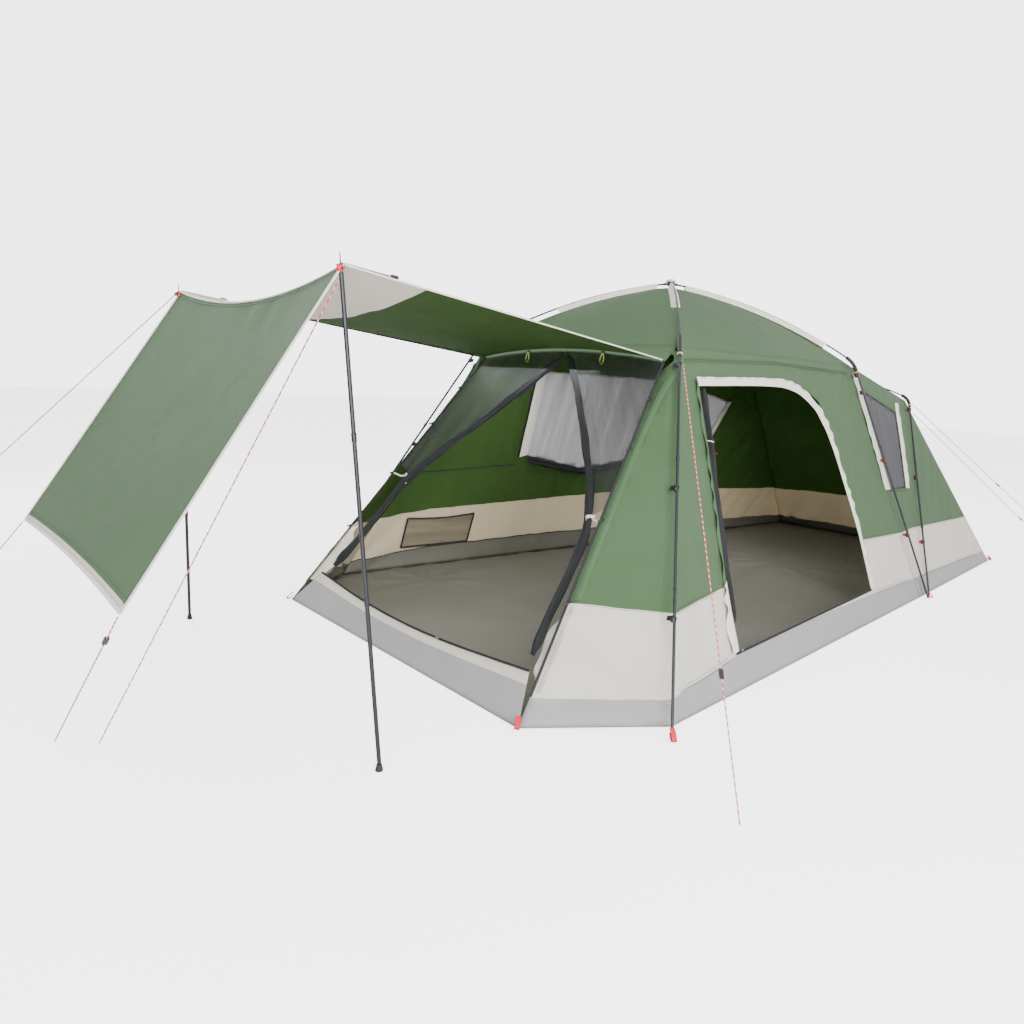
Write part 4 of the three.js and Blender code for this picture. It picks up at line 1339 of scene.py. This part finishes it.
class Trim:
    """Tapes, straps, clips and loops, gathered by finish.

    Args:
        finishes: the tent's materials.
        panels: the wall panels that the trim follows.
    """

    def __init__(self, finishes: Finishes, panels: dict[str, Panel]) -> None:
        self.finishes = finishes
        self.panels = panels
        self.finish_of = {"black": TAPE_BLACK, "cream": TAPE_CREAM, "green": TAPE_GREEN, "red": TAPE_RED,
                          "grey": TAPE_GREY, "lime": LIME, "plastic": PLASTIC}
        self.shapes = {kind: Shape(f"{kind}_trim") for kind in self.finish_of}

    def border(self, kind: str, panel: Panel, first: Sequence[Point2], second: Sequence[Point2],
               ruche: float = 0.0, inside: bool = False) -> None:
        """A band of cloth sewn on a wall between two lines.

        Args:
            kind: its finish.
            panel: the wall.
            first, second: its edges, with as many points each.
            ruche: depth of the gathers on its second edge.
            inside: whether it lies on the wall's inside.
        """
        near = densified(first, 0.02, False)
        marks = shares_of(second)
        rows = []
        for i, ((y, z), share) in enumerate(zip(near, shares_of(near))):
            far_y, far_z = (float(np.interp(share, marks, axis)) for axis in zip(*second))
            gather = ruche * (1 + math.sin(i * 0.9 + 2 * math.sin(i * 0.23)))
            row = []
            for t in (k / 6 for k in range(7)):
                lift = 0.003 + 0.003 * math.sin(math.pi * t) + gather * t
                row.append(panel.over(y + (far_y - y) * t, z + (far_z - z) * t, -lift - 0.002 if inside
                                      else lift))
            rows.append(row)
        self.shapes[kind].grid(rows)
        backs = [panel.normal(*place) * -CLOTH_THICK for place in near]
        self.shapes[kind].grid([[p + back for p in reversed(row)] for row, back in zip(rows, backs)])

    def line(self, kind: str, points: Sequence[Vector], width: float, facing: Vector,
             thick: float = TAPE_THICK) -> None:
        """A tape along a line."""
        self.shapes[kind].strap(resample(points, 0.03), width, thick, facing)

    def ring(self, kind: str, centre: Vector, axis: Vector, radius: float, thick: float) -> None:
        """A small ring around an axis."""
        axis = axis.normalized()
        side = axis.orthogonal().normalized()
        over = axis.cross(side)
        turns = [math.tau * k / 16 for k in range(17)]
        loop = [centre + (side * math.cos(t) + over * math.sin(t)) * radius for t in turns]
        self.shapes[kind].tube(loop, thick, 6)

    def openings(self) -> None:
        """The rims of the doors and windows."""
        right, left = self.panels["right_wall_cloth"], self.panels["left_wall_cloth"]
        self.border("cream", right, smoothed(RIM_IN), smoothed(RIM_OUT), 0.004)
        self.border("green", right, [(-0.845, 1.470), (-0.93, 0.82), (-0.982, 0.475)],
                    [(-0.875, 1.470), (-0.958, 0.82), (-1.012, 0.475)], 0.006)
        self.border("cream", right, [(-0.975, 0.500), (-0.985, 0.36), (-0.990, 0.175)],
                    [(-1.020, 0.480), (-1.050, 0.36), (-1.075, 0.175)], 0.010)
        self.border("black", right, [(-1.021, 0.160), (0.760, 0.186)], [(-1.021, 0.172), (0.760, 0.198)])
        for shift in (0.0, 0.012):
            seam = [(y - 0.5 * shift, z + shift) for y, z in ((-0.92, 1.560), (0.0, 1.590), (0.96, 1.570))]
            for panel in (right, left):
                self.border("green", panel, seam, raised(seam, 0.006))
        for seam, kind in ((HEM_SIDE, "grey"), (CREAM_SIDE, "cream")):
            part = [(y, z) for y, z in seam if -1.45 < y < 1.5]
            self.border(kind, left, part, raised(part, 0.007))
        self.border("cream", left, [(-0.345, 1.489), (-0.290, 0.872)], [(-0.410, 1.489), (-0.352, 0.860)])
        self.border("cream", left, [(-0.345, 1.489), (-0.290, 0.872)], [(-0.425, 1.489), (-0.362, 0.850)],
                    0.0, True)
        self.border("black", left, [(-0.430, 1.489), (-0.368, 0.848)], [(-0.448, 1.489), (-0.384, 0.846)],
                    0.004, True)
        self.border("black", left, [(-1.25, 0.760), (-0.40, 0.790)], [(-1.25, 0.766), (-0.40, 0.796)], 0.0,
                    True)
        hem = [(y, z) for y, z in HEM_SIDE if -1.7 < y < 1.5]
        self.border("black", left, hem, raised(hem, 0.007), 0.0, True)
        self.border("black", left, SIDE_WINDOW[1:4], raised(SIDE_WINDOW[1:4], -0.012))
        for side in ("right", "left"):
            rear = self.panels[f"{side}_rear_cloth"]
            self.border("cream", rear, [(1.135, 1.560), (1.160, 1.480), (1.402, 0.786)],
                        [(1.040, 1.592), (1.062, 1.520), (1.300, 0.790)], 0.002)
            self.border("cream", rear, [(1.885, 1.395), (1.873, 1.323), (1.749, 0.773)],
                        [(1.965, 1.392), (1.952, 1.330), (1.835, 0.766)], 0.002)
            self.border("cream", rear, [(1.873, 1.323), (1.749, 0.773)], [(1.935, 1.335), (1.806, 0.766)],
                        0.0, True)
            self.border("cream", rear, [(1.160, 1.480), (1.402, 0.786)], [(1.105, 1.480), (1.345, 0.790)],
                        0.0, True)
            self.border("black", rear, [(1.395, 0.790), (1.755, 0.777)], [(1.395, 0.740), (1.755, 0.725)],
                        0.010, True)
            self.border("green", rear, [(1.402, 0.786), (1.749, 0.773)], [(1.402, 0.774), (1.749, 0.761)])

    def doorway(self) -> None:
        """The black edge of the doorway, the sill's binding and the toggles."""
        for turn in (1.0, -1.0):
            flip = Vector((turn, 1, 1))
            edge = [opening_edge(z) * flip for z in (0.113, 0.4, 0.7, 1.0, 1.3, 1.56)]
            out = Vector((0.75 * turn, -0.6, 0.2))
            self.line("black", edge, 0.012, out, 0.004)
            panel = self.panels["right_wedge_cloth" if turn > 0 else "left_wedge_cloth"]
            levels = [0.47, 0.7, 1.0, 1.3, 1.52]
            inside = [(opening_edge(z).y + 0.014, z) for z in levels]
            self.border("green", panel, inside, [(y + 0.036 * (1 - 0.55 * z / 1.56), z) for y, z in inside])
            for z in (0.46, 0.80, 1.12, 1.36):
                centre = opening_edge(z) * flip + out * 0.010
                self.shapes["plastic"].block(centre, Vector((0.034, 0.010, 0.009)), Vector((0.2, 1, 0.3)),
                                             out)
        for turn in (1.0, -1.0):
            rows = []
            for k in range(25):
                edge_point = opening_edge(0.125 + 0.36 * k / 24)
                reach = 0.085 * math.sin(math.pi * min(k / 24 + 0.12, 1.0)) ** 0.7
                row = []
                for j in range(7):
                    wave = 0.010 * math.sin(k * 0.9 + 1.4 * math.sin(k * 0.31)) * j / 6
                    off = Vector((-reach * j / 6, 0.020 + 0.030 * j / 6 + wave, 0))
                    row.append((edge_point + off) * Vector((turn, 1, 1)))
                rows.append(row)
            back = [[p + Vector((0, 0.0015, 0)) for p in row] for row in rows]
            turned = back if turn > 0 else rows
            for layer in (rows, back):
                self.shapes["cream"].grid([list(reversed(r)) for r in layer] if layer is turned else layer)
        for x, turn in ((TIE_BACK.x + TIE_SPREAD, 1.0), (-TIE_BACK.x, -1.0)):
            knot = Vector((x - 0.004 * turn, TIE_BACK.y, TIE_BACK.z))
            for lift in (-0.006, 0.002):
                self.ring("cream", knot + Vector((0, 0, lift)), Vector((0.3 * turn, -0.35, -1.0)), 0.0225,
                          0.0035)
            edge_point = opening_edge(0.80) * Vector((turn, 1, 1))
            tie = [knot, mix(knot, edge_point, 0.5) + Vector((0, 0, -0.012)), edge_point]
            tail = [knot + Vector((0, -0.022, 0)), knot + Vector((-0.012 * turn, -0.030, -0.05))]
            for path, width in ((tie, 0.010), (tail, 0.009)):
                self.shapes["cream"].strap(path, width, 0.002, Vector((0, -1, 0.2)))
        self.ring("cream", SIDE.at(-0.816, 1.16, 0.033), Vector((0, 0.17, 1)), 0.025, 0.003)
        tops = rounded([mirrored(SILL_CORNER), mirrored(SILL_MIDDLE), SILL_MIDDLE, SILL_CORNER], 3)
        self.line("black", tops, 0.012, Vector((0, -1, 0.3)), 0.005)

    def porch(self) -> None:
        """The canopy's edges, its webbing and the knots at the pole tops."""
        for turn in (1.0, -1.0):
            share = 0.5 + 0.5 * turn
            side = [mix(door_head(share) + CANOPY_START, porch_edge(share), k / 20) for k in range(21)]
            self.line("cream", side, 0.022, Vector((0.3 * turn, 0, 1)), 0.005)
            if turn < 0:
                self.line("black", [p + Vector((0.006, 0, -0.006)) for p in side], 0.014, UP, 0.004)
            top = Vector((PORCH_TOP.x * turn, PORCH_TOP.y, PORCH_TOP.z))
            strap = [top + Vector((-0.006 * turn, 0.01, 0.004)), mix(side[-1], side[0], 0.10) + UP * 0.006]
            self.line("grey", strap, 0.014, UP)
            buckle = mix(side[-1], side[0], 0.11) + UP * 0.008
            self.shapes["plastic"].block(buckle, Vector((0.03, 0.018, 0.01)), side[0] - side[-1], UP)
            self.ring("red", top + Vector((0, 0, -0.008)), Vector((0.1, 0.2, 1)), 0.012, 0.0035)
            self.ring("red", top + Vector((0, -0.004, -0.020)), Vector((0.3, 0.1, 1)), 0.012, 0.0032)
            self.shapes["red"].ball(top + Vector((0.012 * turn, -0.012, -0.014)), 0.009)
        edge = [porch_edge(k / 40, -2.884) for k in range(41)]
        self.line("cream", edge, 0.015, Vector((0, -0.5, 0.9)), 0.004)

    def hub_and_sleeves(self) -> None:
        """The cloth sleeves over the roof rods and the cap on the hub."""
        for shoulder, last in ((SHOULDER_FRONT, 0.60), (SHOULDER_REAR, 0.84)):
            for turn in (1.0, -1.0):
                end = Vector((shoulder.x * turn, shoulder.y, shoulder.z))
                crown = Vector((end.x / 2, (HUB.y + end.y) / 2, ROD_CROWN))
                eave = EAVE_FRONT if shoulder is SHOULDER_FRONT else EAVE_REAR
                rows = []
                for k in range(41):
                    t = 0.075 + (last - 0.075) * k / 40
                    rod = bezier(HUB, crown, end, t)
                    seam = ridge(Vector((eave.x * turn, eave.y, eave.z)), t)
                    side = (end - HUB).cross(UP).normalized() * (1 + 0.05 * math.sin(k * 1.7))
                    half = ((seam, 0.026, -0.004), (seam, 0.017, 0.006), (rod, 0.009, 0.003))
                    one = [middle + side * out + UP * rise for middle, out, rise in half]
                    other = [middle - side * out + UP * rise for middle, out, rise in half]
                    rows.append([*other, rod + UP * 0.0095, *reversed(one)])
                self.shapes["cream"].grid(rows, 0, wrap=True, caps=True)
        self.shapes["cream"].ball(HUB + Vector((0, 0, 0.016)), 0.034, 0, 0.35)

    def frame_fittings(self) -> None:
        """Rings, clips and webbing on the legs and elbows."""
        legs = ((SHOULDER_FRONT, LEG_FOOT_FRONT, (0.07, 0.42, 0.74)),
                (SHOULDER_REAR, LEG_FOOT_REAR, (0.05, 0.12, 0.40, 0.72)),
                (ARCH_SHOULDER, ARCH_FOOT, (0.06, 0.42, 0.74)))
        peg_loop = ((-0.012, 0.050), (0.012, 0.034), (0.034, 0.010), (0.012, 0.006), (-0.012, 0.030))
        for turn in (1.0, -1.0):
            flip = Vector((turn, 1, 1))
            for high, low, shares in legs:
                down = (low - high) * flip
                for share in shares:
                    at = mix(high, low, share) * flip
                    inward = Vector((-turn, 0, -0.1)).normalized()
                    self.shapes["plastic"].block(at + inward * 0.008, Vector((0.030, 0.020, 0.020)), down,
                                                 inward)
                    kind = "red" if high is not SHOULDER_FRONT else "black"
                    self.line(kind, [at - inward * 0.010, at + inward * 0.040], 0.022, down.cross(inward),
                              0.004)
                for share in (0.045, 0.34, 0.67):
                    self.ring("plastic", mix(high, low, share) * flip, down, 0.0085, 0.0026)
                self.ring("lime", mix(high, low, 0.038) * flip, down, 0.012, 0.0035)
            for foot in (LEG_FOOT_FRONT, LEG_FOOT_REAR, NOSE, TAIL):
                base = foot * flip
                outward = Vector((base.x, base.y * 0.6, 0)).normalized()
                loop = [base + outward * out + UP * rise for out, rise in peg_loop]
                self.shapes["red"].strap(rounded(loop), 0.022, 0.004, outward.cross(UP).cross(outward))
        for share in (0.30, 0.72):
            at = door_head(share) + Vector((0, -0.012, -0.002))
            left, right = (at + Vector((side * 0.018, -0.006, -0.045)) for side in (-1, 1))
            drop = [at, left, at + Vector((0.0, -0.008, -0.075)), right, at]
            self.shapes["lime"].tube(rounded(drop), 0.003, 6)
            self.shapes["plastic"].block(at, Vector((0.026, 0.012, 0.010)), Vector((1, 0, 0)),
                                         Vector((0, -1, 0)))

    def build(self) -> None:
        """Makes every gathered piece."""
        for kind, shape in self.shapes.items():
            made = shape.build([self.finishes.make(self.finish_of[kind])])
            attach(made, "tent")


class Stitching:
    """Rows of thread stitches, laid along seams by geometry nodes.

    Args:
        thread: the thread's material.
    """

    def __init__(self, thread: bpy.types.Material) -> None:
        self.thread = thread
        self.tree = self._tree()

    def _tree(self) -> bpy.types.NodeTree:
        """One short stitch at each step along every line, turned to the line."""
        tree = bpy.data.node_groups.new("Stitch Rows", "GeometryNodeTree")
        face = tree.interface
        face.new_socket(name="Geometry", in_out="INPUT", socket_type="NodeSocketGeometry")
        for name, value in (("Pitch", 0.010), ("Length", 0.006), ("Width", 0.0016)):
            face.new_socket(name=name, in_out="INPUT", socket_type="NodeSocketFloat").default_value = value
        face.new_socket(name="Thread", in_out="INPUT", socket_type="NodeSocketMaterial")
        face.new_socket(name="Geometry", in_out="OUTPUT", socket_type="NodeSocketGeometry")
        new, link = tree.nodes.new, tree.links.new
        given, result = new("NodeGroupInput"), new("NodeGroupOutput")
        curve, spaced = new("GeometryNodeMeshToCurve"), new("GeometryNodeCurveToPoints")
        spaced.mode = "LENGTH"
        size, stitch = new("ShaderNodeCombineXYZ"), new("GeometryNodeMeshCube")
        placed = new("GeometryNodeInstanceOnPoints")
        real, paint = new("GeometryNodeRealizeInstances"), new("GeometryNodeSetMaterial")
        link(given.outputs["Geometry"], curve.inputs[0])
        link(curve.outputs[0], spaced.inputs["Curve"])
        link(given.outputs["Pitch"], spaced.inputs["Length"])
        link(given.outputs["Width"], size.inputs[0])
        link(given.outputs["Width"], size.inputs[1])
        link(given.outputs["Length"], size.inputs[2])
        link(size.outputs[0], stitch.inputs["Size"])
        link(spaced.outputs["Points"], placed.inputs["Points"])
        link(stitch.outputs["Mesh"], placed.inputs["Instance"])
        link(spaced.outputs["Rotation"], placed.inputs["Rotation"])
        link(placed.outputs[0], real.inputs[0])
        link(real.outputs[0], paint.inputs["Geometry"])
        link(given.outputs["Thread"], paint.inputs["Material"])
        link(paint.outputs[0], result.inputs["Geometry"])
        return tree

    def sew(self, name: str, lines: Sequence[Sequence[Vector]], pitch: float = 0.010) -> bpy.types.Object:
        """The stitches along some lines, as one plain mesh.

        Args:
            name: the piece's name.
            lines: the rows of stitches.
            pitch: the distance between two stitches.

        Returns:
            The stitches' object.
        """
        points = [tuple(p) for line in lines for p in line]
        edges, first = [], 0
        for line in lines:
            edges += [(first + i, first + i + 1) for i in range(len(line) - 1)]
            first += len(line)
        guide = bpy.data.meshes.new(name + "_guide")
        guide.from_pydata(points, edges, [])
        source = bpy.data.objects.new(name + "_guide", guide)
        bpy.context.scene.collection.objects.link(source)
        rows = source.modifiers.new("Stitches", "NODES")
        rows.node_group = self.tree
        sockets = {item.name: item.identifier for item in self.tree.interface.items_tree
                   if item.in_out == "INPUT"}
        rows[sockets["Pitch"]] = pitch
        rows[sockets["Length"]] = pitch * 0.62
        rows[sockets["Width"]] = 0.0016
        rows[sockets["Thread"]] = self.thread
        graph = bpy.context.evaluated_depsgraph_get()
        data = bpy.data.meshes.new_from_object(source.evaluated_get(graph), depsgraph=graph)
        data.name = name
        bpy.data.objects.remove(source)
        made = bpy.data.objects.new(name, data)
        bpy.context.scene.collection.objects.link(made)
        log.info("%s: %d stitches", name, len(data.polygons) // 6)
        return made


def seam_rows(shell: Shell) -> list[list[Vector]]:
    """The visible rows of stitches on the walls, the canopy and the sill."""
    rows: list[list[Vector]] = []

    def on(panel: Panel, line: Sequence[Point2], lift: float) -> None:
        """Adds a row that follows a wall."""
        rows.append([panel.over(a, b, lift) for a, b in densified(line, 0.03, False)])

    right, left = shell.panels["right_wall_cloth"], shell.panels["left_wall_cloth"]
    on(right, smoothed(RIM_STITCHES), RIM_LIFT)
    for panel in (right, left):
        for line in (HEM_SIDE, CREAM_SIDE):
            for shift in (-0.005, 0.011):
                for low, high in ((-1.45, -1.10), (0.82, 1.42)) if panel is right else ((-1.45, 1.42),) * 2:
                    ends = [low, *(y for y, _ in line if low < y < high), high]
                    on(panel, [(y, level(line, y) + shift) for y in ends], SEAM_LIFT)
    for side in ("right", "left"):
        wedge, rear = shell.panels[f"{side}_wedge_cloth"], shell.panels[f"{side}_rear_cloth"]
        for shift in (0.020, 0.030):
            on(wedge, [(opening_edge(z).y + shift * (1 - 0.35 * z), z) for z in (0.13, 0.5, 1.0, 1.45)],
               RIM_LIFT)
        for line in (HEM_SIDE, CREAM_SIDE):
            for shift in (-0.005, 0.005):
                on(rear, [(y, level(line, y) + shift) for y in (1.66, 2.0, 2.5, 2.928, 3.2)], SEAM_LIFT)
        on(wedge, [(y, level(CREAM_SIDE, y) - 0.006) for y in (-1.78, -1.50)], SEAM_LIFT)
    return rows


def hem_rows(shell: Shell) -> list[list[Vector]]:
    """The rows of stitches along the flap's four hems."""
    lift, steps = Vector((0, -0.0022, 0.0012)), [i / 60 for i in range(61)]
    rows = [[shell.flap_point(u, 0.02 + 0.96 * t) + lift for t in steps] for u in (0.012, 0.988)]
    rows += [[shell.flap_point(0.012 + 0.976 * t, v) + lift for t in steps] for v in (0.020, 0.968)]
    return rows


@dataclass(frozen=True)
class Lamp:
    """One soft round light.

    Args:
        name: its name.
        place: where it hangs.
        size: its diameter.
        power: its power in watts.
        indoors: whether it hangs in the tent, where it faces down and can't be seen.
    """

    name: str
    place: tuple[float, float, float]
    size: float
    power: float
    indoors: bool = False


LAMPS = (
    Lamp("key", (7.0, -5.0, 3.4), 5.0, 1050.0),
    Lamp("fill", (-6.0, -3.0, 5.0), 6.0, 260.0),
    Lamp("back", (3.0, 8.0, 6.0), 6.0, 260.0),
    Lamp("porch glow", (-0.2, -0.9, 1.50), 1.1, 17.0, True),
    Lamp("room glow", (0.0, 0.6, 1.55), 1.2, 3.0, True),
    Lamp("rear glow", (0.0, 1.5, 1.25), 0.6, 7.0, True),
)
WHITE = (1.0, 1.0, 1.0, 1.0)


class Studio:
    """The floor, the soft lights and the camera."""

    YAW, PITCH, ROLL = math.radians(48.713), math.radians(9.917), math.radians(2.869)
    EYE = Vector((3.212, -4.157, 1.419))
    LENS, SENSOR = 26.34, 36.0
    AIM = Vector((0, 0, 0.8))
    SKY_LIGHT, SKY_SEEN, GROUND_SEEN = 0.90, 3.2, 2.6
    REACH = 40.0

    def build(self) -> None:
        """Sets up everything that isn't the tent."""
        self._camera()
        self._sky()
        for lamp in LAMPS:
            self._lamp(lamp)
        self._ground()

    def _camera(self) -> None:
        """The camera, turned by its three angles."""
        camera = bpy.data.cameras.new("view")
        camera.lens, camera.sensor_width = self.LENS, self.SENSOR
        camera.clip_end = 200.0
        holder = bpy.data.objects.new("view", camera)
        flat = math.cos(self.PITCH)
        ahead = Vector((-math.sin(self.YAW) * flat, math.cos(self.YAW) * flat, -math.sin(self.PITCH)))
        right = ahead.cross(UP).normalized()
        over = right.cross(ahead)
        c, s = math.cos(self.ROLL), math.sin(self.ROLL)
        right, over = right * c + over * s, over * c - right * s
        turn = Matrix((right, over, -ahead)).transposed().to_4x4()
        holder.matrix_world = Matrix.Translation(self.EYE) @ turn
        bpy.context.scene.collection.objects.link(holder)
        bpy.context.scene.camera = holder

    def _sky(self) -> None:
        """An even white sky, brighter where it is looked at."""
        world = bpy.data.worlds.new("studio")
        bpy.context.scene.world = world
        world.use_nodes = True
        sky = world.node_tree.nodes["Background"]
        kit = Nodes(world.node_tree)
        seen = kit.add("ShaderNodeLightPath").outputs["Is Camera Ray"]
        light = kit.add("ShaderNodeMath", operation="MULTIPLY_ADD", _0=seen, _1=self.SKY_SEEN,
                        _2=self.SKY_LIGHT)
        sky.inputs[0].default_value = WHITE
        world.node_tree.links.new(light.outputs[0], sky.inputs[1])

    def _lamp(self, lamp: Lamp) -> None:
        """Hangs one light; an outdoor one is turned to the tent."""
        light = bpy.data.lights.new(lamp.name, "AREA")
        light.shape, light.size, light.energy = "DISK", lamp.size, lamp.power
        hung = bpy.data.objects.new(lamp.name, light)
        hung.location = lamp.place
        if lamp.indoors:
            hung.visible_camera = False
        else:
            hung.rotation_euler = (self.AIM - Vector(lamp.place)).to_track_quat("-Z", "Y").to_euler()
        bpy.context.scene.collection.objects.link(hung)

    def _ground(self) -> None:
        """A wide white floor, brighter where it is looked at."""
        ends = (-self.REACH, self.REACH)
        ground = Shape("studio_ground")
        ground.grid([[Vector((x, y, -0.0005)) for x in ends] for y in ends])
        pale = bpy.data.materials.new("studio white")
        pale.use_nodes = True
        shader = pale.node_tree.nodes["Principled BSDF"]
        shader.inputs["Base Color"].default_value = (0.95, 0.95, 0.95, 1.0)
        shader.inputs["Roughness"].default_value = 0.9
        shader.inputs["Emission Color"].default_value = WHITE
        kit = Nodes(pale.node_tree)
        seen = kit.add("ShaderNodeLightPath").outputs["Is Camera Ray"]
        pale.node_tree.links.new(kit.maths("MULTIPLY", seen, self.GROUND_SEEN),
                                 shader.inputs["Emission Strength"])
        ground.build([pale])


def dress_frame(finishes: Finishes) -> None:
    """Gives each frame part that still shows its finish."""
    for name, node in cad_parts.items():
        found = [finish for start, finish in FRAME_FINISHES.items() if name.startswith(start)]
        if found:
            node.data.materials.clear()
            node.data.materials.append(finishes.make(found[0]))


def write_sizes() -> None:
    """Brings the scene's placements up to date."""
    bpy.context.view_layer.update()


def main() -> None:
    """Builds the whole tent."""
    logging.basicConfig(level=logging.INFO, format="%(message)s")
    Studio().build()
    finishes = Finishes()
    GuyRopes(finishes).build()
    shell = Shell(finishes)
    shell.floor()
    shell.walls()
    shell.rear()
    shell.roofs()
    shell.header()
    shell.sill()
    shell.canopy()
    shell.flap()
    nets = Netting(finishes)
    nets.windows()
    nets.curtains()
    nets.rolls()
    nets.pocket()
    trim = Trim(finishes, shell.panels)
    trim.openings()
    trim.doorway()
    trim.porch()
    trim.hub_and_sleeves()
    trim.frame_fittings()
    trim.build()
    stitching = Stitching(finishes.make(THREAD))
    seams = stitching.sew("wall_stitches", seam_rows(shell))
    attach(seams, "tent")
    hems = stitching.sew("flap_stitches", hem_rows(shell))
    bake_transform(hems)
    dress_frame(finishes)
    write_sizes()


if __name__ == "__main__":
    main()
